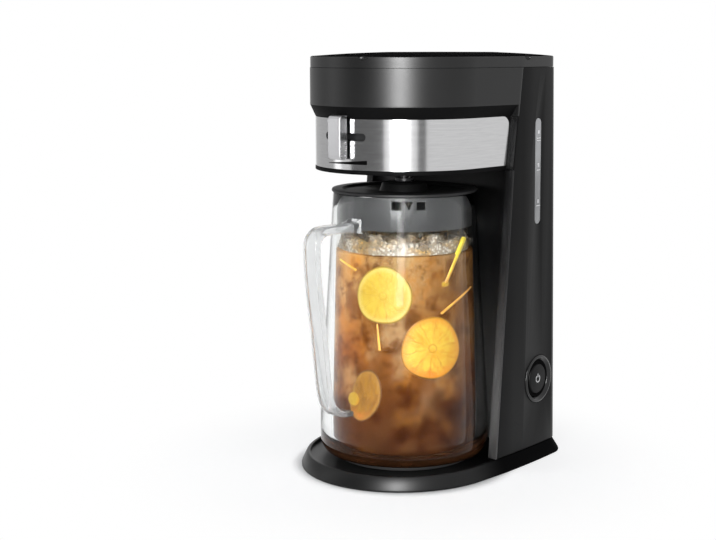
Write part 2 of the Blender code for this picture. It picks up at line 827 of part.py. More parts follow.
def build_base(brewer):
    outer = loft([at_height(base_edge(0), FEET_LIFT),
                  at_height(base_edge(0), FEET_LIFT + BASE_LIP),
                  at_height(base_crease(0), BASE_TOP - BASE_EDGE_ROUND),
                  at_height(base_crease(BASE_EDGE_ROUND), BASE_TOP)])
    shell = add_part("base_shell", outer, BLACK_PLASTIC, brewer)
    ceiling = TRAY_HEIGHT - BASE_WALL
    hollow = loft([at_height(base_crease(BASE_WALL), FEET_LIFT - OVERRUN),
                   at_height(base_crease(BASE_WALL), ceiling)])
    rear_front = recess_depth(BASE_TOP) + BASE_WALL
    rear_back = BASE_CREASE_BACK - 2 * BASE_WALL
    rear = block(2 * (SCREW_REAR_X + FOOT_RADIUS), rear_back - rear_front, BASE_REAR_CEILING,
                 (0, (rear_front + rear_back) / 2, BASE_REAR_CEILING / 2))
    tray_half = front_arc(BASE_CREASE_SIDE, BASE_CREASE_FRONT, BASE_RIM)
    tray_half.append((BASE_CREASE_SIDE - BASE_RIM, crease_back(BASE_TOP) - GAP))
    tray_half.append((RECESS_HALF_WIDTH - GAP, crease_back(BASE_TOP) - GAP))
    tray_half += recess_arc(BASE_TOP, -GAP)
    tray = loft([at_height(whole(tray_half), TRAY_HEIGHT), at_height(whole(tray_half), BASE_TOP + OVERRUN)])
    cut(shell, add_cutter("base_hollow", hollow, brewer), add_cutter("base_rear_hollow", rear, brewer),
        add_cutter("tray_recess", tray, brewer))
    boss_bottom = COVER_BOTTOM + COVER_THICKNESS + GAP
    screw_top = COVER_BOTTOM - GAP + SCREW_LENGTH
    for number, (x, back) in enumerate(screw_spots(), 1):
        roof = BASE_REAR_CEILING if back > 0 else ceiling
        boss = add_cutter(f"boss_{number}", rod(SCREW_SHANK_RADIUS + BOSS_WALL, boss_bottom, roof + GAP),
                          brewer,
                          (x, back, 0))
        bore = add_cutter(f"boss_bore_{number}",
                          rod(SCREW_SHANK_RADIUS + GAP, 0, screw_top + GAP, TINY_STEPS),
                          brewer, (x, back, 0))
        fuse(shell, boss)
        cut(shell, bore)


def build_cover(brewer):
    middle = COVER_BOTTOM + COVER_THICKNESS / 2
    cover = add_part("bottom_cover", plate(base_crease(BASE_WALL + GAP), COVER_THICKNESS), DARK_PLASTIC,
                     brewer,
                     (0, 0, middle))
    holes = [(x, back, SCREW_SHANK_RADIUS + GAP) for x, back in screw_spots()]
    holes += [(x, back, FOOT_PEG_RADIUS + GAP) for x, back in foot_spots()]
    for number, (x, back, radius) in enumerate(holes, 1):
        cut(cover,
            add_cutter(f"cover_hole_{number}", rod(radius, 0, BASE_TOP, TINY_STEPS), brewer, (x, back, 0)))
    for i in range(COVER_SLOTS):
        shift = (i - (COVER_SLOTS - 1) / 2) * COVER_SLOT_PITCH
        slot = block(COVER_SLOT_LENGTH, COVER_SLOT_WIDTH, BASE_TOP)
        cut(cover, add_cutter(f"cover_slot_{i + 1}", slot, brewer, (0, shift, 0)))
    for number, (x, back) in enumerate(foot_spots(), 1):
        top = COVER_BOTTOM - GAP
        shape = [(0, top + FOOT_PEG_HEIGHT), (FOOT_PEG_RADIUS, top + FOOT_PEG_HEIGHT),
                 (FOOT_PEG_RADIUS, top),
                 (FOOT_RADIUS, top), (FOOT_RADIUS, FOOT_ROUND), (FOOT_RADIUS - FOOT_ROUND, 0), (0, 0)]
        turned(f"foot_{number}", shape, RUBBER, brewer, SMALL_STEPS, (x, back, 0))
    for number, (x, back) in enumerate(screw_spots(), 1):
        top = COVER_BOTTOM - GAP
        shape = [(0, top + SCREW_LENGTH), (SCREW_SHANK_RADIUS, top + SCREW_LENGTH),
                 (SCREW_SHANK_RADIUS, top),
                 (SCREW_HEAD_RADIUS, top), (SCREW_HEAD_RADIUS, top - SCREW_HEAD_HEIGHT),
                 (0, top - SCREW_HEAD_HEIGHT)]
        turned(f"base_screw_{number}", shape, BRIGHT_METAL, brewer, TINY_STEPS, (x, back, 0))


def build_jug_seat(brewer):
    low = TRAY_HEIGHT + GAP
    shape = [(0, SEAT_TOP), (SEAT_RADIUS_MAT - SEAT_EDGE, SEAT_TOP),
             (SEAT_RADIUS_MAT, SEAT_TOP - SEAT_EDGE),
             (SEAT_RADIUS_MAT, low), (0, low)]
    turned("jug_seat", shape, RUBBER, brewer)


def side_place(back, height):
    """The outer side's surface point and the empty's turn that points +Z straight out of it."""
    return (tower_side_x(height, back), back, height), (0, pi / 2, side_lean(back))


def pill(width, length):
    return rounded_box(length, width, width / 2, WINDOW_STEPS)


def build_tower_shell(brewer, window, button):
    rings = []
    for height in (BASE_TOP + GAP, HEAD_BOTTOM, HEAD_TOP):
        start = crease_back(height) + FRONT_WALL + GAP
        outer = tower_rear(height, 0, start)
        inner = tower_rear(height, TOWER_WALL, start)
        outer_path = [(-x, y) for x, y in outer] + list(reversed(outer))
        inner_path = inner + [(-x, y) for x, y in reversed(inner)]
        rings.append(at_height(outer_path + inner_path, height))
    shell = add_part("tower_shell", loft(rings), BLACK_PLASTIC, brewer)
    reach = TOWER_WALL + OVERRUN
    slot = plate(pill(WINDOW_WIDTH + 2 * GAP, WINDOW_TOP - WINDOW_BOTTOM + 2 * GAP), 2 * reach)
    cut(shell, add_cutter("window_slot", slot, window))
    cut(shell, add_cutter("button_hole", rod(BEZEL_TUBE_RADIUS + GAP, -reach, reach, INNER_STEPS), button))
    cut(shell,
        add_cutter("bezel_seat", rod(BEZEL_RADIUS + GAP, -BEZEL_SEAT - GAP, reach, INNER_STEPS), button))
    back = tower_back(GLAND_HEIGHT)
    gland = rod(GLAND_RADIUS + GAP, -reach, reach, SMALL_STEPS)
    cut(shell, add_cutter("gland_hole", gland, brewer, (GLAND_X, back, GLAND_HEIGHT), (pi / 2, 0, 0)))
    for i in range(VENT_COUNT):
        shift = (i - (VENT_COUNT - 1) / 2) * VENT_PITCH
        vent = block(VENT_WIDTH, 2 * reach, VENT_HEIGHT)
        cut(shell, add_cutter(f"vent_{i + 1}", vent, brewer, (shift, tower_back(VENT_CENTRE_HEIGHT),
                                                              VENT_CENTRE_HEIGHT)))


def build_tower_front(brewer):
    rings = []
    for height in (BASE_TOP + GAP, HEAD_BOTTOM - GAP):
        crease = crease_back(height)
        side = tower_half_width(height)
        front = [(side, crease), (RECESS_HALF_WIDTH, crease)] + recess_arc(height, 0)
        rear = [(side, crease + FRONT_WALL), (RECESS_HALF_WIDTH + FRONT_WALL, crease + FRONT_WALL)]
        rear += recess_arc(height, FRONT_WALL)
        front_path = front + [(-x, y) for x, y in reversed(front)][1:]
        rear_path = [(-x, y) for x, y in rear] + list(reversed(rear))[1:]
        rings.append(at_height(front_path + rear_path, height))
    add_part("tower_front", loft(rings), BLACK_PLASTIC, brewer)


def band_end(height, inset):
    """How far back the band's seat runs at a height: to the crease, with a round upper corner."""
    end = crease_back(height) - LIP_WIDTH
    over = height - (BAND_TOP + GAP - BAND_CORNER)
    if over <= 0:
        return end - inset
    return end - BAND_CORNER + sqrt(max(0.0, (BAND_CORNER - inset)**2 - over**2))


def corner_heights(inset):
    """Heights up the band's round upper corner."""
    low = BAND_TOP + GAP - BAND_CORNER
    turns = [pi / 2 * i / BAND_CORNER_STEPS for i in range(BAND_CORNER_STEPS + 1)]
    return [low + (BAND_CORNER - inset) * sin(turn) for turn in turns]


def head_ring(height, radius, inner, recessed):
    crease = crease_back(height)
    side = tower_half_width(height)
    arc = front_arc(radius, radius)
    if recessed:
        end = band_end(height, 0)
        outer = arc + [(radius, end), (LIP_RADIUS, end + LIP_SLANT), (LIP_RADIUS, crease), (side, crease)]
        turn = [(side, crease + FRONT_WALL), (inner, crease + FRONT_WALL)]
    else:
        slope = (side - radius) / crease
        flank = [(side - slope * step * SHOULDER, crease - step * SHOULDER) for step in (3, 2, 1, 0)]
        outer = arc + flank
        turn = [(side, crease + FRONT_WALL), (side - DRUM_WALL, crease + FRONT_WALL)]
    inside = turn + list(reversed(front_arc(inner, inner)))
    outer_path = [(-x, y) for x, y in reversed(outer)] + outer[1:]
    inner_path = inside + [(-x, y) for x, y in reversed(inside)][1:]
    return at_height(outer_path + inner_path, height)


def cut_slot(piece, name, brewer):
    """The slider's slot through a wall about the axis, with its round ends."""
    round_end = SLOT_HEIGHT / 2
    end_turn = SLOT_HALF_ANGLE - round_end / SEAT_RADIUS
    outline = sector(CARRIAGE_OUTER - OVERRUN, KNOB_FRONT, end_turn, ARC_STEPS)
    cut(piece, add_cutter(name, plate(outline, SLOT_HEIGHT), brewer, (0, 0, SLOT_MIDDLE)))
    for number, turn in enumerate((-end_turn, end_turn), 1):
        end = rod(round_end, CARRIAGE_OUTER - OVERRUN, KNOB_FRONT, SMALL_STEPS)
        cut(piece, add_cutter(f"{name}_end_{number}", end, brewer, (0, 0, SLOT_MIDDLE), (pi / 2, 0, turn)))


def build_head_housing(brewer):
    seat_inner = SEAT_RADIUS - DRUM_WALL
    top = BAND_TOP + GAP
    ledge = BAND_BOTTOM - GAP
    rings = [head_ring(HEAD_BOTTOM, RIM_RADIUS, seat_inner, True),
             head_ring(ledge, RIM_RADIUS, seat_inner, True)]
    rings.append(head_ring(ledge, SEAT_RADIUS, seat_inner, True))
    rings += [head_ring(height, SEAT_RADIUS, seat_inner, True) for height in corner_heights(0)]
    rings.append(head_ring(top, LIP_RADIUS - GAP, seat_inner, True))
    rings.append(head_ring(CHAMFER_TOP, DRUM_RADIUS, DRUM_RADIUS - DRUM_WALL, False))
    rings.append(head_ring(HEAD_TOP, DRUM_RADIUS, DRUM_RADIUS - DRUM_WALL, False))
    housing = add_part("head_housing", loft(rings), BLACK_PLASTIC, brewer)
    cut_slot(housing, "housing_slot", brewer)


def build_head_floor(brewer):
    inner = SEAT_RADIUS - DRUM_WALL - GAP
    crease = crease_back(HEAD_BOTTOM + FLOOR_THICKNESS)
    behind = crease + FRONT_WALL + 3 * GAP
    wide = tower_side_x(HEAD_BOTTOM, behind) - 2 * TOWER_WALL
    back = recess_depth(HEAD_BOTTOM)
    half = front_arc(inner, inner) + [(inner, behind - GAP), (wide, behind), (wide, back)]
    floor = add_part("head_floor", plate(whole(half), FLOOR_THICKNESS), DARK_PLASTIC, brewer,
                     (0, 0, HEAD_BOTTOM + FLOOR_THICKNESS / 2))
    hole = rod(FLOOR_HOLE_RADIUS, -FLOOR_THICKNESS, FLOOR_THICKNESS, ROUND_STEPS)
    cut(floor, add_cutter("floor_hole", hole, brewer, (0, 0, HEAD_BOTTOM + FLOOR_THICKNESS / 2)))


def build_band(brewer):
    inner = SEAT_RADIUS + GAP
    outer = inner + BAND_THICKNESS
    rings = []
    for height in [BAND_BOTTOM] + corner_heights(GAP):
        end = band_end(height, GAP)
        far = front_arc(outer, outer) + [(outer, end)]
        near = [(inner, end)] + list(reversed(front_arc(inner, inner)))
        path = [(-x, y) for x, y in reversed(far)] + far[1:] + near + [(-x, y) for x,
                                                                       y in reversed(near)][1:]
        rings.append(at_height(path, height))
    band = add_part("steel_band", loft(rings), BRUSHED_STEEL, brewer)
    cut_slot(band, "band_slot", brewer)


def build_slider(pivot):
    """The knob, the carriage behind the slot and the bypass collar turn together about the axis."""
    depth = KNOB_FRONT - KNOB_BACK
    height = KNOB_TOP - KNOB_BOTTOM
    bar = []
    for x, y in rounded_box(2 * depth, height, KNOB_ROUND, BEND_STEPS):
        bar.append((min(x, 0.0), y))
    outline = [point for i, point in enumerate(bar) if point != bar[i - 1]]
    knob = add_part("slider_knob", plate(outline, KNOB_WIDTH), BRIGHT_METAL, pivot,
                    (0, -KNOB_BACK, (KNOB_BOTTOM + KNOB_TOP) / 2 - SLOT_MIDDLE), (pi / 2, 0, pi / 2))
    soften(knob, KNOB_EDGE)
    arc = sector(CARRIAGE_OUTER - CARRIAGE_THICKNESS, CARRIAGE_OUTER, CARRIAGE_HALF_ANGLE, ARC_STEPS)
    carriage = add_part("slider_carriage", plate(arc, CARRIAGE_HEIGHT), DARK_PLASTIC, pivot)
    stem_back = CARRIAGE_OUTER - CARRIAGE_THICKNESS / 2
    stem_front = KNOB_BACK - GAP
    stem = block(STEM_WIDTH, stem_front - stem_back, STEM_HEIGHT, (0, -(stem_front + stem_back) / 2, 0))
    fuse(carriage, add_cutter("slider_stem", stem, pivot))
    outer = CARRIAGE_OUTER - CARRIAGE_THICKNESS - GAP
    inner = outer - COLLAR_THICKNESS
    low = -CARRIAGE_HEIGHT / 2
    high = COLLAR_TOP - SLOT_MIDDLE
    collar = turned("bypass_collar", [(outer, high), (outer, low), (inner, low), (inner, high)],
                    GREY_PLASTIC, pivot)
    port = plate(sector(inner - OVERRUN, outer + OVERRUN, COLLAR_PORT_HALF_ANGLE, CORNER_STEPS),
                 COLLAR_PORT_HEIGHT)
    cut(collar, add_cutter("collar_port", port, pivot, (0, 0, high / 2), (0, 0, pi)))


def build_deck(brewer):
    middle = DECK_BOTTOM + DECK_THICKNESS / 2
    inset = DRUM_WALL + GAP
    start = crease_back(middle)
    half = front_arc(DRUM_RADIUS, DRUM_RADIUS, inset) + tower_rear(middle, inset, start)
    deck = add_part("head_deck", plate(whole(half), DECK_THICKNESS), DARK_PLASTIC, brewer, (0, 0, middle))
    basket = rod(BASKET_RADIUS + RUNNING_GAP, -DECK_THICKNESS, DECK_THICKNESS, ROUND_STEPS)
    fill = plate(rounded_box(FILL_RIGHT - FILL_LEFT, FILL_BACK - FILL_FRONT, FILL_CORNER, CORNER_STEPS),
                 2 * DECK_THICKNESS)
    nozzle = rod(NOZZLE_RADIUS + GAP, -DECK_THICKNESS, DECK_THICKNESS, SMALL_STEPS)
    fill_place = ((FILL_LEFT + FILL_RIGHT) / 2, (FILL_FRONT + FILL_BACK) / 2, middle)
    cut(deck, add_cutter("basket_hole", basket, brewer, (0, 0, middle)),
        add_cutter("fill_hole", fill, brewer, fill_place),
        add_cutter("nozzle_hole", nozzle, brewer, (RISER_X, RISER_BACK, middle)))


def lid_ring(inset, height, shift=0.0):
    """The lid's plan at a height; a crown ring may sit further back than the edge."""
    inset += LID_INSET
    plan = whole(front_arc(DRUM_RADIUS, DRUM_RADIUS, inset) + tower_rear(HEAD_TOP, inset,
                                                                         crease_back(HEAD_TOP)))
    return [(x, y + shift, height) for x, y in plan]


def ear_spots():
    return (-EAR_MIDDLE, EAR_MIDDLE)


def build_lid(hinge, hinge_back, hinge_height):
    """The lid, built about its hinge line."""
    home = (0, -hinge_back, -hinge_height)
    low = hinge_height - HINGE_RADIUS
    shape = loft([lid_ring(0, low), lid_ring(0, LID_SIDE_TOP),
                  lid_ring(LID_SHOULDER_INSET, LID_SHOULDER_TOP),
                  lid_ring(LID_SLOPE_INSET, LID_SLOPE_TOP, LID_SLOPE_SHIFT),
                  lid_ring(LID_CROWN_INSET, LID_CROWN_TOP, LID_CROWN_SHIFT)])
    lid = add_part("top_lid", shape, BLACK_PLASTIC, hinge, home)
    cavity = loft([lid_ring(LID_WALL, low - OVERRUN), lid_ring(LID_WALL, LID_CEILING - LID_CEILING_DROP),
                   lid_ring(LID_CEILING_INSET, LID_CEILING)])
    hollow = add_cutter("lid_hollow", cavity, hinge, home)
    stop = hinge_back - HINGE_RADIUS - LID_CAVITY_STOP
    keep = block(2 * DRUM_RADIUS + OVERRUN, TOWER_BACK_LOW, TOWER_BACK_LOW,
                 (0, stop + TOWER_BACK_LOW / 2, low))
    cut(hollow, add_cutter("lid_hollow_stop", keep, hinge, home))
    cut(lid, hollow)
    width = 2 * TOWER_HALF_WIDTH_LOW
    tall = 4 * HINGE_RADIUS
    trim = add_cutter("hinge_trim", block(width, tall / 2, tall, (0, tall / 4, 0)), hinge)
    barrel = rod(HINGE_RADIUS, -width, width, ROUND_STEPS)
    cut(trim, add_cutter("hinge_barrel", barrel, hinge, (0, 0, 0), (0, pi / 2, 0)))
    cut(lid, trim)
    for number, x in enumerate(ear_spots(), 1):
        notch = block(EAR_WIDTH + 2 * RUNNING_GAP, 2 * (EAR_RADIUS + 2 * RUNNING_GAP) + OVERRUN, tall,
                      (0, OVERRUN / 2, 0))
        cut(lid, add_cutter(f"ear_notch_{number}", notch, hinge, (x, 0, 0)))
    bore_half = EAR_MIDDLE + EAR_WIDTH / 2 + PIN_REACH + RUNNING_GAP
    bore = rod(PIN_RADIUS + PIN_CLEARANCE, -bore_half, bore_half)
    cut(lid, add_cutter("pin_bore", bore, hinge, (0, 0, 0), (0, pi / 2, 0)))
    grip = block(NOTCH_WIDTH, 2 * NOTCH_DEPTH, NOTCH_HEIGHT)
    side = tower_side_x(HEAD_TOP, NOTCH_SIDE_BACK)
    front = (DRUM_RADIUS * sin(NOTCH_FRONT_ANGLE), -DRUM_RADIUS * cos(NOTCH_FRONT_ANGLE))
    spots = ((front[0], front[1], NOTCH_FRONT_ANGLE), (side, NOTCH_SIDE_BACK, pi / 2))
    for number, (x, back, turn) in enumerate(spots, 1):
        place = (x, back - hinge_back, NOTCH_MIDDLE - hinge_height)
        cut(lid, add_cutter(f"grip_notch_{number}", grip.copy(), hinge, place, (0, 0, turn)))


def build_hinge(brewer, hinge_back, hinge_height):
    deck_top = DECK_BOTTOM + DECK_THICKNESS
    low = deck_top + GAP
    high = hinge_height - HINGE_RADIUS - RUNNING_GAP
    back = tower_back(HEAD_TOP) - TOWER_WALL - 2 * GAP
    base = block(2 * BRACKET_HALF_WIDTH, BRACKET_DEPTH, high - low,
                 (0, back - BRACKET_DEPTH / 2, (low + high) / 2))
    bracket = add_part("hinge_bracket", base, DARK_PLASTIC, brewer)
    for number, x in enumerate(ear_spots(), 1):
        disc = rod(EAR_RADIUS, -EAR_WIDTH / 2, EAR_WIDTH / 2, SMALL_STEPS)
        post = block(EAR_WIDTH, back - hinge_back + EAR_RADIUS, hinge_height - low,
                     (0, (back - hinge_back - EAR_RADIUS) / 2, (low - hinge_height) / 2))
        place = (x, hinge_back, hinge_height)
        fuse(bracket, add_cutter(f"ear_disc_{number}", disc, brewer, place, (0, pi / 2, 0)),
             add_cutter(f"ear_post_{number}", post, brewer, place))
    reach = EAR_MIDDLE + EAR_WIDTH / 2 + PIN_REACH
    bore = rod(PIN_RADIUS + GAP, -reach, reach)
    place = (0, hinge_back, hinge_height)
    cut(bracket, add_cutter("ear_bore", bore, brewer, place, (0, pi / 2, 0)))
    add_part("hinge_pin", rod(PIN_RADIUS, -reach, reach), BRIGHT_METAL, brewer, place, (0, pi / 2, 0))


def build_spray_head(hinge, hinge_back, hinge_height):
    home = (0, -hinge_back, -hinge_height)
    top = LID_CEILING - GAP
    shape = [(0, top), (SPRAY_RADIUS, top), (SPRAY_RADIUS, SPRAY_BOTTOM), (0, SPRAY_BOTTOM)]
    spray = turned("spray_head", shape, GREY_PLASTIC, hinge, place=home)
    length = sqrt(RISER_X**2 + RISER_BACK**2)
    turn = atan2(RISER_BACK, RISER_X)
    arm = block(length + SPRAY_ARM_WIDTH / 2 - SPRAY_RADIUS / 2, SPRAY_ARM_WIDTH,
                SPRAY_ARM_TOP - SPRAY_BOTTOM,
                ((length + SPRAY_ARM_WIDTH / 2 + SPRAY_RADIUS / 2) / 2, 0,
                 (SPRAY_ARM_TOP + SPRAY_BOTTOM) / 2))
    fuse(spray, add_cutter("spray_arm", arm, hinge, home, (0, 0, turn)))
    for ring, (radius, count) in enumerate(SPRAY_RINGS, 1):
        for i in range(count):
            angle = 2 * pi * i / count
            hole = rod(SPRAY_HOLE_RADIUS, SPRAY_BOTTOM - OVERRUN, SPRAY_BOTTOM + SPRAY_HOLE_DEPTH,
                       CORNER_STEPS)
            place = (radius * cos(angle), radius * sin(angle) - hinge_back, -hinge_height)
            cut(spray, add_cutter(f"spray_hole_{ring}_{i + 1}", hole, hinge, place))


def build_basket(brewer):
    flange_low = DECK_BOTTOM + DECK_THICKNESS + GAP
    flange_top = flange_low + BASKET_FLANGE
    outside = [(BASKET_FLANGE_RADIUS, flange_top), (BASKET_FLANGE_RADIUS, flange_low),
               (BASKET_RADIUS, flange_low),
               (BASKET_WAIST_RADIUS, BASKET_WAIST_HEIGHT), (BASKET_HIP_RADIUS, BASKET_HIP_HEIGHT),
               (BASKET_HEEL_RADIUS, BASKET_HEEL_HEIGHT), (OUTLET_RADIUS, OUTLET_UNDER),
               (OUTLET_RADIUS, OUTLET_BOTTOM)]
    bore = OUTLET_RADIUS - OUTLET_WALL
    inside = [(bore, OUTLET_BOTTOM), (bore, OUTLET_ROOF), (VALVE_HOLE_RADIUS, OUTLET_ROOF),
              (VALVE_HOLE_RADIUS, BASKET_FLOOR_HEIGHT), (OUTLET_RADIUS, BASKET_FLOOR_HEIGHT),
              (BASKET_HEEL_RADIUS - BASKET_WALL, BASKET_HEEL_HEIGHT + BASKET_WALL),
              (BASKET_HIP_RADIUS - BASKET_WALL, BASKET_HIP_HEIGHT + BASKET_WALL / 2),
              (BASKET_WAIST_RADIUS - BASKET_WALL, BASKET_WAIST_HEIGHT),
              (BASKET_RADIUS - BASKET_WALL, flange_low), (BASKET_RADIUS - BASKET_WALL, flange_top)]
    turned("brew_basket", outside + inside, DARK_PLASTIC, brewer, INNER_STEPS)
    rim_low = flange_top + GAP
    rim_top = rim_low + FILTER_RIM
    top_radius = BASKET_RADIUS - BASKET_WALL - FILTER_GAP
    hip_radius = BASKET_HIP_RADIUS - BASKET_WALL - 2 * FILTER_GAP
    foot_radius = BASKET_HEEL_RADIUS - BASKET_WALL - FILTER_GAP
    frame_shape = [(top_radius + FILTER_RIM_WIDTH, rim_top), (top_radius + FILTER_RIM_WIDTH, rim_low),
                   (top_radius, rim_low), (hip_radius, FILTER_HIP_HEIGHT), (foot_radius, FILTER_BOTTOM),
                   (foot_radius - FILTER_RING, FILTER_BOTTOM),
                   (foot_radius - FILTER_RING, FILTER_BOTTOM + FILTER_WALL),
                   (foot_radius - FILTER_WALL, FILTER_BOTTOM + FILTER_WALL),
                   (hip_radius - FILTER_WALL, FILTER_HIP_HEIGHT + FILTER_WALL),
                   (top_radius - FILTER_WALL, rim_low), (top_radius - FILTER_WALL, rim_top)]
    frame = turned("filter_frame", frame_shape, DARK_PLASTIC, brewer, INNER_STEPS)
    low = FILTER_HIP_HEIGHT + FILTER_RING
    high = rim_low - FILTER_RING
    opening = 2 * pi * hip_radius / FILTER_WINDOWS - FILTER_RIB
    for i in range(FILTER_WINDOWS):
        window = block(opening, top_radius, high - low, (0, top_radius, (low + high) / 2))
        cut(frame, add_cutter(f"filter_window_{i + 1}", window, brewer, (0, 0, 0),
                              (0, 0, 2 * pi * i / FILTER_WINDOWS)))
    shrink = FILTER_WALL + GAP
    floor = FILTER_BOTTOM + FILTER_WALL + GAP
    screen_top = rim_low
    outer = [(top_radius - shrink, screen_top),
             (hip_radius - shrink, FILTER_HIP_HEIGHT + FILTER_WALL + GAP),
             (foot_radius - shrink - FILTER_WALL, floor), (0, floor)]
    inner = [(max(0.0, radius - SCREEN_WALL), height + SCREEN_WALL) for radius,
             height in reversed(outer[1:])]
    inner.append((outer[0][0] - SCREEN_WALL, screen_top))
    turned("filter_screen", inner + outer, MESH_STEEL, brewer, INNER_STEPS)


def build_drip_valve(valve):
    """The plunger, its seal and its spring, built about the plunger's line."""
    seal_low = BASKET_FLOOR_HEIGHT + GAP
    seal_top = seal_low + SEAL_THICKNESS
    cap_low = seal_top + GAP
    cap_top = cap_low + PLUNGER_CAP_HEIGHT
    button_top = PLUNGER_BOTTOM + PLUNGER_BUTTON_HEIGHT
    edge = PLUNGER_BUTTON_HEIGHT / 3
    shape = [(0, cap_top), (PLUNGER_CAP_RADIUS, cap_top), (PLUNGER_CAP_RADIUS, cap_low),
             (PLUNGER_STEM_RADIUS, cap_low), (PLUNGER_STEM_RADIUS, button_top),
             (PLUNGER_BUTTON_RADIUS, button_top),
             (PLUNGER_BUTTON_RADIUS, PLUNGER_BOTTOM + edge), (PLUNGER_BUTTON_RADIUS - edge, PLUNGER_BOTTOM),
             (0, PLUNGER_BOTTOM)]
    turned("drip_plunger", shape, GREY_PLASTIC, valve, SMALL_STEPS)
    bore = PLUNGER_STEM_RADIUS + GAP
    turned("valve_seal",
           [(SEAL_RADIUS, seal_top), (SEAL_RADIUS, seal_low), (bore, seal_low), (bore, seal_top)],
           RUBBER, valve, SMALL_STEPS)
    clear = SPRING_WIRE_RADIUS + GAP
    route = helix(SPRING_RADIUS, button_top + clear, OUTLET_ROOF - clear, SPRING_TURNS)
    tube("valve_spring", route, SPRING_WIRE_RADIUS, BRIGHT_METAL, valve, 1)


def tank_outline(height, inset):
    """Round the tank from its front left corner, keeping to the shell's inner face."""
    gap = TOWER_WALL + TANK_SIDE_GAP + inset
    front = TANK_FRONT + inset
    left = TANK_LEFT + inset
    right = tower_rear(height, gap, front)
    back = tower_back(height) - gap
    return [(left + TANK_CORNER, front)] + right + [(left + TANK_CORNER, back), (left, back - TANK_CORNER),
                                                   (left, front + TANK_CORNER)]


def build_tank(brewer):
    top = DECK_BOTTOM - GAP
    floor_top = TANK_BOTTOM + TANK_FLOOR_INSET
    outside = loft([at_height(tank_outline(TANK_BOTTOM, TANK_FLOOR_INSET), TANK_BOTTOM),
                    at_height(tank_outline(floor_top, 0), floor_top), at_height(tank_outline(top, 0), top)])
    tank = add_part("water_tank", outside, TANK_PLASTIC, brewer)
    inner_floor = TANK_BOTTOM + TANK_WALL
    inside = loft([at_height(tank_outline(inner_floor, TANK_WALL + TANK_FLOOR_INSET), inner_floor),
                   at_height(tank_outline(floor_top + TANK_WALL, TANK_WALL), floor_top + TANK_WALL),
                   at_height(tank_outline(top, TANK_WALL), top + OVERRUN)])
    cut(tank, add_cutter("tank_hollow", inside, brewer))
    outlet_low = TANK_BOTTOM - TANK_OUTLET_LENGTH
    outlet = rod(TANK_OUTLET_RADIUS, outlet_low, TANK_BOTTOM + TANK_WALL / 2)
    bore = rod(TANK_OUTLET_BORE, outlet_low - OVERRUN, inner_floor + OVERRUN)
    place = (BOILER_HALF_WIDTH, BOILER_BACK, 0)
    fuse(tank, add_cutter("tank_outlet", outlet, brewer, place))
    cut(tank, add_cutter("tank_bore", bore, brewer, place))


def build_window(window):
    thickness = TOWER_WALL - WINDOW_SINK
    lens = plate(pill(WINDOW_WIDTH, WINDOW_TOP - WINDOW_BOTTOM), thickness)
    add_part("level_window", lens, CLEAR_PLASTIC, window, (0, 0, -WINDOW_SINK - thickness / 2))


def build_button(button):
    """Bezel, ring, cap, spring and switch, outwards along +Z from the side's surface."""
    tube_inner = BEZEL_TUBE_RADIUS - BEZEL_TUBE_WALL
    bezel = [(BEZEL_CREST_RADIUS, BEZEL_PROUD), (BEZEL_RADIUS, BEZEL_EDGE), (BEZEL_RADIUS, -BEZEL_SEAT),
             (BEZEL_TUBE_RADIUS, -BEZEL_SEAT), (BEZEL_TUBE_RADIUS, -BEZEL_TUBE_DEPTH),
             (tube_inner, -BEZEL_TUBE_DEPTH),
             (tube_inner, -BEZEL_DISH)]
    turned("button_bezel", bezel, BLACK_PLASTIC, button, INNER_STEPS)
    ring_outer = tube_inner - GAP
    ring_inner = CAP_RADIUS + GAP
    ring_low = -RING_DEPTH - RING_HEIGHT
    turned("button_ring", [(ring_outer, -RING_DEPTH), (ring_outer, ring_low), (ring_inner, ring_low),
                           (ring_inner, -RING_DEPTH)], RUBBER, button, INNER_STEPS)
    cap_low = -CAP_SINK - CAP_HEIGHT
    stem_low = cap_low - CAP_STEM_LENGTH
    cap = [(0, -CAP_SINK), (CAP_RADIUS - CAP_ROUND, -CAP_SINK), (CAP_RADIUS, -CAP_SINK - CAP_ROUND),
           (CAP_RADIUS, cap_low), (CAP_STEM_RADIUS, cap_low), (CAP_STEM_RADIUS, stem_low), (0, stem_low)]
    turned("power_button", cap, BLACK_PLASTIC, button, INNER_STEPS)
    switch_top = -BEZEL_TUBE_DEPTH - GAP
    clear = SPRING_WIRE_RADIUS + GAP
    tube("button_spring", helix(BUTTON_SPRING_RADIUS, switch_top + clear, cap_low - clear, SPRING_TURNS),
         SPRING_WIRE_RADIUS, BRIGHT_METAL, button, 1)
    flange = rod(BEZEL_TUBE_RADIUS, switch_top - SWITCH_FLANGE_HEIGHT, switch_top)
    switch = add_part("power_switch", flange, DARK_PLASTIC, button)
    body_low = switch_top - SWITCH_DEPTH
    body = block(SWITCH_SIDE, SWITCH_SIDE, SWITCH_DEPTH - SWITCH_FLANGE_HEIGHT / 2,
                 (0, 0, (body_low + switch_top - SWITCH_FLANGE_HEIGHT / 2) / 2))
    fuse(switch, add_cutter("switch_body", body, button))
    for number, side in enumerate((-1, 1), 1):
        tab = block(SWITCH_TAB_THICKNESS, SWITCH_TAB_WIDTH, SWITCH_TAB_LENGTH + OVERRUN,
                    (side * SWITCH_TAB_PITCH / 2, 0, body_low - (SWITCH_TAB_LENGTH - OVERRUN) / 2))
        fuse(switch, add_cutter(f"switch_tab_{number}", tab, button))


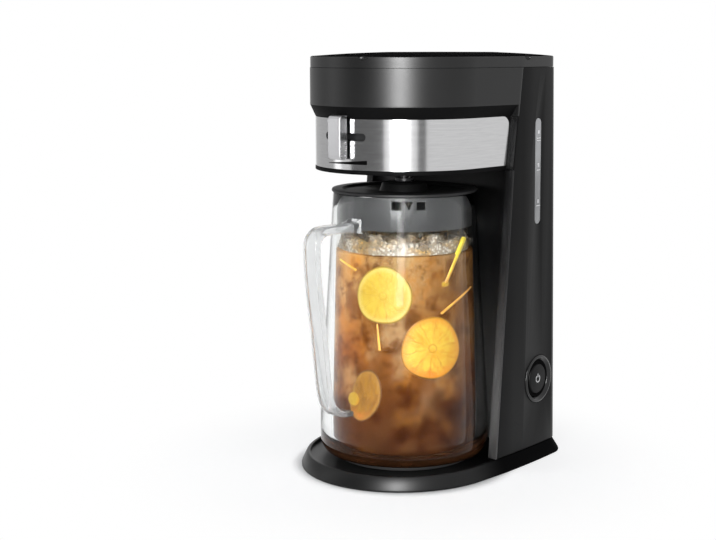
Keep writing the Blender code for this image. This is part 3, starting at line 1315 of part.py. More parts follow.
def build_heater(brewer):
    side = BOILER_HALF_WIDTH
    loop = [(side, BOILER_BACK, BOILER_TOP), (side, BOILER_BACK, BOILER_HEIGHT),
            (-side, BOILER_BACK, BOILER_HEIGHT), (-side, BOILER_BACK, BOILER_TOP)]
    tube("boiler_tube", bent(loop, BOILER_BEND), BOILER_RADIUS, ALUMINIUM, brewer)
    element_back = BOILER_BACK + BOILER_RADIUS + ELEMENT_RADIUS + GAP
    element = [(x, element_back, min(height, ELEMENT_TOP)) for x, back, height in loop]
    tube("heating_element", bent(element, BOILER_BEND), ELEMENT_RADIUS, MESH_STEEL, brewer)
    low = BASE_TOP + GAP
    high = BOILER_HEIGHT - BOILER_RADIUS - GAP
    sheet = BRACKET_SHEET
    channel = [(-BRACKET_SPREAD, low), (BRACKET_SPREAD, low), (BRACKET_SPREAD, high),
               (BRACKET_SPREAD - sheet, high),
               (BRACKET_SPREAD - sheet, low + sheet), (sheet - BRACKET_SPREAD, low + sheet),
               (sheet - BRACKET_SPREAD, high), (-BRACKET_SPREAD, high)]
    add_part("boiler_bracket", plate(channel, BOILER_BRACKET_DEPTH), ALUMINIUM, brewer, (0, BOILER_BACK, 0),
             (pi / 2, 0, 0))
    seat = BOILER_HEIGHT + BOILER_RADIUS + GAP
    body_top = seat + THERMOSTAT_HEIGHT
    shape = [(0, body_top + THERMOSTAT_CAP_HEIGHT),
             (THERMOSTAT_CAP_RADIUS, body_top + THERMOSTAT_CAP_HEIGHT),
             (THERMOSTAT_CAP_RADIUS, body_top), (THERMOSTAT_RADIUS, body_top), (THERMOSTAT_RADIUS, seat),
             (0, seat)]
    turned("thermostat", shape, GREY_PLASTIC, brewer, SMALL_STEPS, (0, BOILER_BACK, 0))
    fuse_rod = rod(FUSE_RADIUS, -FUSE_LENGTH / 2, FUSE_LENGTH / 2)
    add_part("thermal_fuse", fuse_rod, TERMINAL_WHITE, brewer, (FUSE_X, BOILER_BACK, seat + FUSE_RADIUS),
             (0, pi / 2, 0))


def build_plumbing(brewer):
    low = BOILER_TOP + GAP
    high = low + VALVE_LENGTH
    shape = [(0, high), (VALVE_NECK_RADIUS, high), (VALVE_NECK_RADIUS, high - VALVE_NECK_LENGTH),
             (VALVE_RADIUS, high - VALVE_NECK_LENGTH), (VALVE_RADIUS, low + VALVE_NECK_LENGTH),
             (VALVE_NECK_RADIUS, low + VALVE_NECK_LENGTH), (VALVE_NECK_RADIUS, low), (0, low)]
    turned("check_valve", shape, GREY_PLASTIC, brewer, SMALL_STEPS, (BOILER_HALF_WIDTH, BOILER_BACK, 0))
    hose = [(BOILER_HALF_WIDTH, BOILER_BACK, high + GAP),
            (BOILER_HALF_WIDTH, BOILER_BACK, TANK_BOTTOM - TANK_OUTLET_LENGTH - GAP)]
    tube("tank_hose", hose, HOSE_RADIUS, SILICONE, brewer)
    riser = [(-BOILER_HALF_WIDTH, BOILER_BACK, BOILER_TOP + GAP),
             (-BOILER_HALF_WIDTH, BOILER_BACK, RISER_BEND_LOW),
             (RISER_X, RISER_BACK, RISER_BEND_HIGH), (RISER_X, RISER_BACK, DECK_BOTTOM - 2 * GAP)]
    tube("riser_tube", bent(riser, BOILER_BEND), RISER_RADIUS, SILICONE, brewer)
    deck_top = DECK_BOTTOM + DECK_THICKNESS
    flange_low = deck_top + GAP
    flange_top = flange_low + NOZZLE_FLANGE
    nozzle = [(NOZZLE_RADIUS, NOZZLE_TOP), (NOZZLE_RADIUS, flange_top), (NOZZLE_FLANGE_RADIUS, flange_top),
              (NOZZLE_FLANGE_RADIUS, flange_low), (NOZZLE_RADIUS, flange_low),
              (NOZZLE_RADIUS, DECK_BOTTOM - GAP),
              (NOZZLE_BORE, DECK_BOTTOM - GAP), (NOZZLE_BORE, NOZZLE_TOP)]
    turned("riser_nozzle", nozzle, GREY_PLASTIC, brewer, SMALL_STEPS, (RISER_X, RISER_BACK, 0))


def build_electrics(brewer):
    back = tower_back(TERMINAL_LIFT) - TOWER_WALL - GAP
    body = block(TERMINAL_WIDTH, TERMINAL_DEPTH, TERMINAL_HEIGHT)
    terminal = add_part("terminal_block", body, TERMINAL_WHITE, brewer,
                        (TERMINAL_X, back - TERMINAL_DEPTH / 2 - GAP, TERMINAL_LIFT))
    for i in range(TERMINAL_GROOVES):
        shift = (i - (TERMINAL_GROOVES - 1) / 2) * TERMINAL_WIDTH / (TERMINAL_GROOVES + 1)
        groove = block(TERMINAL_GROOVE, TERMINAL_DEPTH, 2 * TERMINAL_HEIGHT,
                       (shift, -TERMINAL_DEPTH / 2, 0))
        cut(terminal, add_cutter(f"terminal_groove_{i + 1}", groove, brewer,
                                 (TERMINAL_X, back - TERMINAL_DEPTH / 2 - GAP - TERMINAL_GROOVE,
                                  TERMINAL_LIFT)))
    outside = GLAND_PROUD
    face = GAP
    inside = -TOWER_WALL - GAP
    flange_face = [(GLAND_FLANGE_RADIUS, outside), (GLAND_FLANGE_RADIUS, face), (GLAND_RADIUS, face)]
    nut = [(GLAND_RADIUS, inside), (GLAND_FLANGE_RADIUS, inside), (GLAND_FLANGE_RADIUS, inside - GLAND_NUT)]
    bore = [(GLAND_BORE, inside - GLAND_NUT), (GLAND_BORE, outside)]
    gland = turned("cord_gland", flange_face + nut + bore, DARK_PLASTIC, brewer, SMALL_STEPS,
                   (GLAND_X, tower_back(GLAND_HEIGHT), GLAND_HEIGHT))
    gland.rotation_euler = (-pi / 2, 0, 0)


def jug_radius(height):
    """The jug's outer radius: a round heel, a short upright belly and a long taper."""
    if height <= JUG_HEEL_HEIGHT:
        share = (JUG_HEEL_HEIGHT - height) / (JUG_HEEL_HEIGHT - JUG_BOTTOM)
        return JUG_FOOT_RADIUS + (JUG_RADIUS - JUG_FOOT_RADIUS) * sqrt(max(0.0, 1 - share**2))
    if height <= JUG_BELLY_HEIGHT:
        return JUG_RADIUS
    share = (height - JUG_BELLY_HEIGHT) / (JUG_TOP - JUG_BELLY_HEIGHT)
    return lerp(JUG_RADIUS, JUG_TOP_RADIUS, share)


def jug_wall(height):
    return lerp(JUG_WALL_LOW, JUG_WALL_TOP, (height - JUG_BOTTOM) / (JUG_TOP - JUG_BOTTOM))


def jug_heights(low):
    heel = [lerp(JUG_HEEL_HEIGHT, low, sin(pi / 2 * i / JUG_HEEL_STEPS)) for i in range(JUG_HEEL_STEPS + 1)]
    spout = JUG_TOP - SPOUT_DEPTH
    side = [lerp(JUG_TOP, spout, i / JUG_SIDE_STEPS) for i in range(JUG_SIDE_STEPS + 1)]
    return side + [JUG_BELLY_HEIGHT] + heel


def pull_spout(mesh):
    """Draws the rim outwards at the back into a pouring lip."""
    for vertex in mesh.vertices:
        x, y, height = vertex.co
        rise = (height - (JUG_TOP - SPOUT_DEPTH)) / SPOUT_DEPTH
        angle = abs(atan2(x, y))
        if rise <= 0 or angle >= SPOUT_HALF_ANGLE:
            continue
        across = cos(pi / 2 * angle / SPOUT_HALF_ANGLE) ** 2
        radius = sqrt(x**2 + y**2)
        pull = 1 + SPOUT_REACH * across * rise**2 / radius
        vertex.co = (x * pull, y * pull, height)


def handle_outline():
    """The handle's outline in its plane, at right angles to its middle line all along."""
    route = [Vector((-reach, lerp(JUG_BOTTOM, JUG_TOP, share), 0))
             for (reach, thickness), share in zip(HANDLE_LINE, HANDLE_HEIGHT_SHARES)]
    left, right = [], []
    for i, place in enumerate(route):
        along = (route[min(i + 1, len(route) - 1)] - route[max(i - 1, 0)]).normalized()
        across = Vector((-along.y, along.x, 0)) * HANDLE_LINE[i][1] / 2
        left.append(tuple((place + across)[:2]))
        right.append(tuple((place - across)[:2]))
    return left + list(reversed(right))


def build_jug(jug):
    outside = [(jug_radius(height), height) for height in jug_heights(JUG_BOTTOM)]
    floor = JUG_BOTTOM + JUG_FLOOR
    inside = []
    for height in reversed(jug_heights(floor)):
        share = max(0.0, (JUG_HEEL_HEIGHT - height) / (JUG_HEEL_HEIGHT - floor))
        level = JUG_BOTTOM + (height - floor) * (JUG_HEEL_HEIGHT - JUG_BOTTOM) / (JUG_HEEL_HEIGHT - floor)
        radius = jug_radius(level if share > 0 else height) - jug_wall(height)
        inside.append((radius, height))
    helper = revolve(add_cutter("jug_turning", profile([(0, floor)] + inside + outside + [(0, JUG_BOTTOM)]),
                                None))
    mesh = solid_mesh(helper)
    pull_spout(mesh)
    body = add_part("jug", mesh, CLEAR_GLASS, jug)
    strap = plate(handle_outline(), HANDLE_WIDTH)
    fuse(body, add_cutter("jug_handle", strap, jug, (0, 0, 0), (pi / 2, 0, pi / 2)))


def build_jug_lid(jug_lid):
    rim_low = JUG_TOP + GAP
    rim_top = rim_low + LID_RIM
    dish = rim_top - JUG_LID_DISH
    plug = rim_low - JUG_LID_PLUG_DEPTH
    knob_edge = JUG_LID_KNOB_TOP - JUG_LID_KNOB_ROUND
    edge = LID_RIM / 4
    shape = [(0, JUG_LID_KNOB_TOP), (JUG_LID_KNOB_RADIUS - JUG_LID_KNOB_ROUND, JUG_LID_KNOB_TOP),
             (JUG_LID_KNOB_RADIUS, knob_edge), (JUG_LID_KNOB_FOOT, dish), (JUG_LID_DISH_RADIUS, dish),
             (JUG_LID_DISH_RADIUS + JUG_LID_DISH, rim_top), (LID_RIM_RADIUS - edge, rim_top),
             (LID_RIM_RADIUS, rim_top - edge), (LID_RIM_RADIUS, rim_low), (JUG_LID_PLUG_RADIUS, rim_low),
             (JUG_LID_PLUG_RADIUS, plug), (0, plug)]
    lid = turned("jug_lid", shape, DARK_PLASTIC, jug_lid)
    half = JUG_LID_NOTCH / 2
    notch = plate([(0.0, LID_RIM_RADIUS - half), (half, LID_RIM_RADIUS + half),
                   (-half, LID_RIM_RADIUS + half)],
                  2 * LID_RIM)
    cut(lid, add_cutter("lid_notch", notch, jug_lid, (0, 0, rim_top)))
    outer = JUG_TOP_RADIUS - JUG_WALL_TOP - SKIRT_GAP
    inner = outer - SKIRT_WALL
    top = rim_low - GAP
    skirt = turned("lid_skirt", [(outer, top), (outer, SKIRT_BOTTOM), (inner, SKIRT_BOTTOM), (inner, top)],
                   GREY_PLASTIC, jug_lid)
    middle = STRAINER_SLOT_TOP - STRAINER_SLOT_HEIGHT / 2
    for number, side in enumerate((-1, 1), 1):
        slot = block(STRAINER_SLOT_WIDTH, 4 * SKIRT_WALL, STRAINER_SLOT_HEIGHT, (0, -outer, middle))
        cut(skirt, add_cutter(f"strainer_slot_{number}", slot, jug_lid, (0, 0, 0),
                              (0, 0, STRAINER_ANGLE + side * STRAINER_HALF_ANGLE)))
    arrow_half = STRAINER_SLOT_HEIGHT / 2
    arrow = plate([(-arrow_half, arrow_half), (0.0, -arrow_half), (arrow_half, arrow_half)], 4 * SKIRT_WALL)
    place = (outer * sin(STRAINER_ANGLE), -outer * cos(STRAINER_ANGLE), middle)
    cut(skirt, add_cutter("strainer_arrow", arrow, jug_lid, place, (pi / 2, 0, STRAINER_ANGLE)))


def main():
    global parts, cutters
    clear_scene()
    parts = new_collection("iced_tea_maker")
    cutters = new_collection("cutters")
    # The shared axis stands so that the whole outline is centred on the origin.
    handle_reach = max(-y for y, height in handle_outline())
    brewer = add_empty("brewer_axis", None, (0, (handle_reach - BASE_BACK) / 2, 0))
    window_place, window_turn = side_place(WINDOW_BACK, (WINDOW_BOTTOM + WINDOW_TOP) / 2)
    button_place, button_turn = side_place(BUTTON_BACK, BUTTON_HEIGHT)
    window = add_empty("window_face", brewer, window_place, window_turn)
    button = add_empty("button_line", brewer, button_place, button_turn)
    hinge_back = tower_back(HEAD_TOP) - HINGE_RADIUS
    hinge_height = HEAD_TOP + 2 * GAP + HINGE_RADIUS
    hinge = add_empty("lid_hinge_line", brewer, (0, hinge_back, hinge_height))
    pivot = add_empty("slider_pivot", brewer, (0, 0, SLOT_MIDDLE))
    valve = add_empty("valve_line", brewer, (0, 0, 0))
    jug = add_empty("jug_line", brewer, (0, 0, 0))
    jug_lid = add_empty("jug_lid_line", jug, (0, 0, 0))
    build_base(brewer)
    build_cover(brewer)
    build_jug_seat(brewer)
    build_tower_shell(brewer, window, button)
    build_tower_front(brewer)
    build_head_housing(brewer)
    build_head_floor(brewer)
    build_band(brewer)
    build_slider(pivot)
    build_deck(brewer)
    build_lid(hinge, hinge_back, hinge_height)
    build_hinge(brewer, hinge_back, hinge_height)
    build_spray_head(hinge, hinge_back, hinge_height)
    build_basket(brewer)
    build_drip_valve(valve)
    build_tank(brewer)
    build_window(window)
    build_button(button)
    build_heater(brewer)
    build_plumbing(brewer)
    build_electrics(brewer)
    build_jug(jug)
    build_jug_lid(jug_lid)


main()
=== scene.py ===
"""Looks of the iced tea maker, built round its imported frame: moulded shells, steel band, glass jug and iced tea."""

from math import asin, atan2, cos, pi, radians, sin, sqrt

import bmesh
import bpy
from bpy.props import FloatProperty, FloatVectorProperty, PointerProperty
from mathutils import Matrix, Vector


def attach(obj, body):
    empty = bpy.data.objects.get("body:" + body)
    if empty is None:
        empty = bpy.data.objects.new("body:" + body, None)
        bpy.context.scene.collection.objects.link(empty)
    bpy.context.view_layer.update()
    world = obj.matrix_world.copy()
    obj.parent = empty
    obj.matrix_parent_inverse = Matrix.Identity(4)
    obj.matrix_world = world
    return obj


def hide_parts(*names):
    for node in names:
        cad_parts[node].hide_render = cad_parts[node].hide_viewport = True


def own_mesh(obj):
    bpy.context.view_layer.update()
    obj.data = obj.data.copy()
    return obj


bl_info = {
    "name": "Iced Tea Maker",
    "version": (1, 0, 0),
    "blender": (4, 5, 0),
    "location": "3D View > Sidebar > Tea Maker",
    "description": "Dresses the iced tea maker's frame with its finishes, glass jug and iced tea",
    "category": "Object",
}

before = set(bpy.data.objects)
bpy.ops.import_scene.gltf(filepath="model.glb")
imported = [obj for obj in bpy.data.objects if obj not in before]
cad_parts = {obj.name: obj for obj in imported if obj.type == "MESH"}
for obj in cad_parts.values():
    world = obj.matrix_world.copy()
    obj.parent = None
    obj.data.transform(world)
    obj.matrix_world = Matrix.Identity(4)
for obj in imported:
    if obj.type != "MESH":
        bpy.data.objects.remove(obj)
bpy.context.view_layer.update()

BODY = "body"
SMOOTH_ANGLE = radians(30)
PHOTO_TURN = 41.36

# Sizes that several pieces share, in metres

AXIS_Y = -0.0050752
BASE_TOP, HEAD_BOTTOM, HEAD_TOP = 0.012, 0.2548, 0.3394
DRUM_RADIUS, SEAT_RADIUS, BAND_RADIUS, BAND_INSIDE = 0.079, 0.0736, 0.0747, 0.0739
CORNER_HEIGHT, BAND_CORNER, BAND_GAP = 0.2899, 0.0095, 0.0003
SLOT_RADIUS, SLOT_HEIGHT = 0.0735, 0.2847
SIDE_ROUND, SIDE_START = 0.8, 0.03
RECESS_SIDE, WALL = 0.0746, 0.002

# Sizes of the tower that change with height, each at its lower and its upper end

TOWER_HALF_WIDTH = (0.0828, 0.0819)
TOWER_BACK = (0.1183, 0.1132)
CREASE_BELOW_HEAD = (0.0219, 0.0432)
CREASE_BESIDE_HEAD = (0.0432, 0.0548)
RECESS_DEPTH = (0.0785, 0.071)


# Shader graphs


class Value:
    """A node's output that takes part in arithmetic: each operator adds its Math node."""

    def __init__(self, graph, socket):
        self.graph = graph
        self.socket = socket

    def math(self, operation, *others):
        return self.graph.add("ShaderNodeMath", {"operation": operation}, dict(enumerate((self,) + others)))

    def __add__(self, other):
        return self.math("ADD", other)

    def __radd__(self, other):
        return self.math("ADD", other)

    def __sub__(self, other):
        return self.math("SUBTRACT", other)

    def __rsub__(self, other):
        return self.graph.add("ShaderNodeMath", {"operation": "SUBTRACT"}, {0: other, 1: self})

    def __mul__(self, other):
        return self.math("MULTIPLY", other)

    def __rmul__(self, other):
        return self.math("MULTIPLY", other)

    def __abs__(self):
        return self.math("ABSOLUTE")

    def sine(self):
        return self.math("SINE")

    def most(self, other):
        return self.math("MAXIMUM", other)


class Graph:
    """The nodes of one finish, or of the world, which end in a surface shader."""

    def __init__(self, name, world=None):
        self.owner = world or bpy.data.materials.new(name)
        self.owner.use_nodes = True
        self.ending = "ShaderNodeOutputWorld" if world else "ShaderNodeOutputMaterial"
        self.tree = self.owner.node_tree
        self.tree.nodes.clear()

    def add(self, kind, settings=None, sockets=None, output=0):
        """Adds a node: its settings first, then the values or links of its sockets."""
        node = self.tree.nodes.new(kind)
        for key, value in (settings or {}).items():
            if key == "stops":
                self.set_stops(node.color_ramp, value)
            else:
                setattr(node, key, value)
        for key, value in (sockets or {}).items():
            if isinstance(value, Value):
                self.tree.links.new(value.socket, node.inputs[key])
            else:
                node.inputs[key].default_value = value
        return Value(self, node.outputs[output])

    @staticmethod
    def set_stops(ramp, stops):
        while len(ramp.elements) < len(stops):
            ramp.elements.new(1.0)
        for element, (place, colour) in zip(ramp.elements, stops):
            element.position = place
            element.color = (*colour, 1.0)

    def place(self):
        """Object coordinates, in metres."""
        return self.add("ShaderNodeTexCoord", output="Object")

    def parts(self, vector):
        """The three numbers of a vector."""
        first = self.add("ShaderNodeSeparateXYZ", None, {0: vector})
        return tuple(Value(self, socket) for socket in first.socket.node.outputs)

    def joined(self, x, y, z):
        return self.add("ShaderNodeCombineXYZ", None, {0: x, 1: y, 2: z})

    def scaled(self, vector, factors):
        return self.add("ShaderNodeVectorMath", {"operation": "MULTIPLY"}, {0: vector, 1: factors})

    def noise(self, vector, scale, detail=2.0, roughness=0.5):
        sockets = {"Vector": vector, "Scale": scale, "Detail": detail, "Roughness": roughness}
        return self.add("ShaderNodeTexNoise", None, sockets)

    def moulding_grain(self, place):
        """The fine spark grain of a moulding, and the slow changes over it."""
        return self.noise(place, 2200.0, 2.0, 0.6), self.noise(place, 22.0, 3.0, 0.5)

    def cells(self, vector, scale):
        return self.add("ShaderNodeTexVoronoi", None, {"Vector": vector, "Scale": scale}, "Distance")

    def eased(self, value, low, high, start=0.0, end=1.0, kind="SMOOTHSTEP"):
        """The value's way from low to high, as a smooth step from start to end."""
        sockets = {0: value, 1: low, 2: high, 3: start, 4: end}
        return self.add("ShaderNodeMapRange", {"interpolation_type": kind}, sockets)

    def ramp(self, value, stops):
        return self.add("ShaderNodeValToRGB", {"stops": stops}, {0: value})

    def mix(self, factor, first, second, blend="MIX"):
        """One colour into another."""
        settings = {"data_type": "RGBA", "blend_type": blend}
        colours = {}
        for key, colour in ((6, first), (7, second)):
            colours[key] = colour if isinstance(colour, Value) else (*colour[:3], 1.0)
        return self.add("ShaderNodeMix", settings, {0: factor, **colours}, 2)

    def tinted(self, colour, tint):
        return self.mix(1.0, colour, tint, "MULTIPLY")

    def bump(self, height, distance, strength):
        sockets = {"Height": height, "Distance": distance, "Strength": strength}
        return self.add("ShaderNodeBump", None, sockets)

    def around(self, vector, y=AXIS_Y):
        """The turn about an upright axis, the distance from it, and the height."""
        x, back, height = self.parts(vector)
        back = back - y
        return x.math("ARCTAN2", back), (x * x + back * back).math("SQRT"), height

    def principled(self, **sockets):
        named = {key.replace("_", " "): value for key, value in sockets.items()}
        for key, value in named.items():
            if isinstance(value, tuple) and len(value) == 3:
                named[key] = (*value, 1.0)
        return self.add("ShaderNodeBsdfPrincipled", None, named)

    def blend(self, factor, first, second):
        """One shader into another."""
        return self.add("ShaderNodeMixShader", None, {0: factor, 1: first, 2: second})

    def weak_shadow(self, glass, share, colour=(1.0, 1.0, 1.0)):
        """Glass that lets a share of the light through to what it holds."""
        through = self.add("ShaderNodeBsdfTransparent", None, {"Color": (*colour, 1.0)})
        return self.end(self.blend(self.add("ShaderNodeLightPath", output="Is Shadow Ray") * share, glass, through))

    def end(self, shader):
        output = self.tree.nodes.new(self.ending)
        self.tree.links.new(shader.socket, output.inputs["Surface"])
        return self.owner

    def surface(self, **sockets):
        return self.end(self.principled(**sockets))


# Finishes


def times(colour, factor, lift=0.0):
    """A colour made darker or paler."""
    return tuple(c * factor + lift for c in colour)


def moulded(name, colour, roughness, grain=0.00002, gloss=0.5, shade=0.12):
    """Spark-grained moulding: a fine grain, with slow changes of shade and gloss over it."""
    graph = Graph(name)
    place = graph.place()
    fine, slow = graph.moulding_grain(place)
    lighter = times(colour, 1 + shade, 0.001)
    darker = times(colour, 1 - shade)
    base = graph.mix(graph.eased(slow, 0.3, 0.7), darker, lighter)
    rough = fine * 0.08 + slow * 0.07 + (roughness - 0.075)
    return graph.surface(
        Base_Color=base, Roughness=rough, Specular_IOR_Level=gloss, Normal=graph.bump(fine, grain, 0.5)
    )


def brushed_round(name, colour, roughness, rolled=(0.021, 0.042)):
    """Steel brushed round an upright axis: long fine lines that keep to one height, and ends that roll out."""
    graph = Graph(name)
    place = graph.place()
    turn, distance, height = graph.around(place)
    lines = graph.noise(graph.joined(turn * 2.2, distance * 20.0, height * 5200.0), 1.0, 3.0, 0.7)
    streaks = graph.noise(graph.joined(turn * 5.0, distance * 10.0, height * 900.0), 1.0, 2.0, 0.5)
    lighter = tuple(min(1.0, c * 1.05) for c in colour)
    darker = times(colour, 0.94)
    base = graph.mix(graph.eased(lines * 0.6 + streaks * 0.4, 0.3, 0.7), darker, lighter)
    rough = lines * 0.12 + streaks * 0.06 + (roughness - 0.09)
    roll = graph.eased(graph.parts(place)[1], *rolled, 0.0, 1.0, "LINEAR")
    fine = graph.bump(lines, 0.000006, 0.6)
    ends = graph.add("ShaderNodeBump", None, {"Height": roll * roll, "Distance": 0.0038, "Normal": fine})
    return graph.surface(Base_Color=base, Metallic=1.0, Roughness=rough, Normal=ends)


def metal(name, colour, roughness, streak=(40.0, 40.0, 900.0), depth=0.000006):
    """Drawn or plated metal with faint lines and handling marks."""
    graph = Graph(name)
    place = graph.place()
    lines = graph.noise(graph.scaled(place, streak), 1.0, 2.0, 0.6)
    marks = graph.noise(place, 60.0, 3.0, 0.5)
    base = graph.mix(graph.eased(marks, 0.3, 0.75), times(colour, 0.92), colour)
    rough = lines * 0.06 + marks * 0.08 + (roughness - 0.05)
    return graph.surface(
        Base_Color=base, Metallic=1.0, Roughness=rough, Normal=graph.bump(lines, depth, 0.5)
    )


def soft_rubber(name, colour, roughness=0.75, gloss=0.5):
    graph = Graph(name)
    place = graph.place()
    dust = graph.noise(place, 350.0, 3.0, 0.6)
    base = graph.mix(graph.eased(dust, 0.45, 0.8), colour, times(colour, 1.7))
    return graph.surface(
        Base_Color=base, Roughness=dust * 0.15 + (roughness - 0.07), Specular_IOR_Level=gloss,
        Normal=graph.bump(dust, 0.00003, 0.6),
    )


def clear(name, colour, roughness, index):
    """A clear wall that bends light, and lets most of it through to what it holds."""
    graph = Graph(name)
    place = graph.place()
    wave = graph.noise(place, 14.0, 1.0, 0.4)
    glass = graph.principled(
        Base_Color=colour, Roughness=roughness, IOR=index, Transmission_Weight=1.0,
        Normal=graph.bump(wave, 0.0004, 0.35),
    )
    return graph.weak_shadow(glass, 0.85, tuple(c**0.5 for c in colour))


def jug_glass(name):
    """Clear glass, whose thick floor and heel are painted the tea's brown: a painted image of the tea seen through
    the thick glass.
    """
    graph = Graph(name)
    place = graph.place()
    height = graph.parts(place)[2]
    wave = graph.noise(place, 14.0, 1.0, 0.4)
    glass = graph.principled(
        Base_Color=(0.97, 0.985, 0.98), Roughness=0.0, IOR=1.45, Transmission_Weight=1.0,
        Specular_Tint=(0.07, 0.07, 0.07), Normal=graph.bump(wave, 0.0004, 0.35),
    )
    cloud = graph.noise(place, 50.0, 3.0, 0.5)
    brown = graph.mix(cloud, (0.03, 0.011, 0.005), (0.1, 0.038, 0.014))
    heel = graph.principled(Base_Color=brown, Roughness=0.12, Specular_IOR_Level=0.25)
    # Painted refraction: below the bore the glass turns to an opaque brown, standing in for the tea seen through it.
    seen = graph.blend(graph.eased(height, 0.0245, 0.019, 0.0, 0.93), glass, heel)
    return graph.weak_shadow(seen, 0.85, (0.985, 0.99, 0.99))


def milky_glass(name):
    """Frosted glass of the handle, which lets half of the light through."""
    graph = Graph(name)
    place = graph.place()
    cloud = graph.noise(place, 60.0, 3.0, 0.5)
    base = graph.mix(cloud, (0.72, 0.73, 0.73), (0.81, 0.82, 0.82))
    frosted = graph.principled(
        Base_Color=base, Roughness=0.12, IOR=1.45, Transmission_Weight=0.8, Normal=graph.bump(cloud, 0.0001, 0.3)
    )
    return graph.weak_shadow(frosted, 0.6)


def hollow_black_painted_light(name, colour):
    """The wall behind the jug, with painted light that makes its black paler towards its foot."""
    graph = Graph(name)
    place = graph.place()
    fine, slow = graph.moulding_grain(place)
    level = graph.parts(place)[2] + (slow - 0.5) * 0.02
    # Painted light: the black raised 2.2 times above, going over to a pale grey towards the foot.
    base = graph.mix(graph.eased(level, 0.19, 0.04), times(colour, 2.2), (0.08, 0.078, 0.077))
    return graph.surface(
        Base_Color=base, Roughness=fine * 0.08 + 0.36, Specular_IOR_Level=0.2, Normal=graph.bump(fine, 0.00002, 0.5)
    )


def base_black_shaded_flanks(name, colour):
    """Glossy round the front of the base, and matt along its flanks, where a dull copy of the finish is painted
    shade.
    """
    graph = Graph(name)
    place = graph.place()
    fine, slow = graph.moulding_grain(place)
    base = graph.mix(slow, colour, times(colour, 1.2, 0.001))
    grain = graph.bump(fine, 0.00001, 0.5)
    front = graph.principled(Base_Color=base, Roughness=slow * 0.07 + 0.34, Specular_IOR_Level=0.25, Normal=grain)
    # Painted shade: the same black with almost no gloss darkens the flanks.
    flank = graph.principled(Base_Color=base, Roughness=slow * 0.07 + 0.5, Specular_IOR_Level=0.004, Normal=grain)
    return graph.end(graph.blend(graph.eased(graph.parts(place)[1], -0.03, 0.025), front, flank))


def woven_mesh(name, colour, pitch=0.0005):
    """Fine woven steel, with its open holes as darker points."""
    graph = Graph(name)
    turn, distance, height = graph.around(graph.place())
    across = (turn * (0.06 * pi / pitch)).sine()
    along = ((height + distance) * (pi / pitch)).sine()
    wires = abs(across).most(abs(along))
    base = graph.mix(graph.eased(wires, 0.5, 0.95), times(colour, 0.25), colour)
    return graph.surface(
        Base_Color=base, Metallic=1.0, Roughness=0.38, Normal=graph.bump(wires, 0.0001, 0.7)
    )


def brewed_tea(name, colours):
    """Cloudy tea over ice: tan above, deep brown below, with pale drifts where ice lies near the wall, painted light
    that makes the left side paler and brighter, a painted reflection as a pale upright streak down the middle, and
    painted shade on the right side.
    """
    graph = Graph(name)
    place = graph.place()
    x, back, height = graph.parts(place)
    side = x * 0.7507 + (back - AXIS_Y) * 0.6607
    warp = graph.noise(place, 26.0, 4.0, 0.55)
    level = height + (warp - 0.5) * 0.08
    base = graph.ramp(graph.add("ShaderNodeMapRange", None, {0: level, 1: 0.02, 2: 0.187, 3: 0.0, 4: 1.0}), colours)
    drift = graph.noise(graph.scaled(place, (1.0, 1.0, 0.7)), 30.0, 4.0, 0.55)
    # Painted reflection: a pale upright streak down the middle of the view, where the glass mirrors the key light.
    streak = graph.eased(abs(side + 0.007), 0.024, 0.002) * graph.eased(height, 0.05, 0.1)
    # Painted light: the left side of the tea turns paler.
    edge = graph.eased(side, -0.03, -0.056, 0.0, 0.1) * graph.eased(height, 0.05, 0.09)
    drifts = graph.eased(drift + streak * 0.12 + edge, 0.44, 0.7, 0.0, 0.66)
    pale = drifts * graph.eased(height, 0.04, 0.12, 0.06, 1.0)
    cloudy = graph.mix(pale, base, (0.26, 0.188, 0.106))
    swirl = graph.noise(graph.scaled(place, (1.2, 1.2, 1.0)), 46.0, 4.0, 0.6)
    glow = graph.eased(swirl, 0.5, 0.7, 0.0, 0.6) * graph.eased(height, 0.04, 0.11, 0.35, 1.0)
    glowing = graph.mix(glow, cloudy, (0.25, 0.1, 0.013))
    pocket = graph.noise(place, 58.0, 4.0, 0.6)
    dark = graph.tinted(glowing, (0.4, 0.27, 0.2))
    pools = graph.mix(graph.eased(pocket, 0.44, 0.64, 0.0, 0.85), glowing, dark)
    fleck = graph.noise(graph.scaled(place, (1.0, 1.0, 0.8)), 170.0, 5.0, 0.7)
    flecked = graph.tinted(pools, (0.42, 0.32, 0.26))
    tinted = graph.mix(graph.eased(fleck, 0.5, 0.72, 0.0, 0.8), pools, flecked)
    shaded = graph.tinted(tinted, (0.42, 0.34, 0.3))
    # Painted shade: the right side of the tea turns darker.
    right = graph.mix(graph.eased(side + (warp - 0.5) * 0.03, 0.02, 0.056, 0.0, 0.7), tinted, shaded)
    lit = graph.tinted(right, (1.9, 1.7, 1.4))
    # Painted light: the left side of the tea turns brighter.
    across = graph.mix(graph.eased(side, -0.02, -0.054) * graph.eased(height, 0.05, 0.09, 0.35, 1.0), right, lit)
    return graph.surface(
        Base_Color=across, Roughness=0.4, Specular_IOR_Level=0.0, Normal=graph.bump(drift, 0.0002, 0.4)
    )


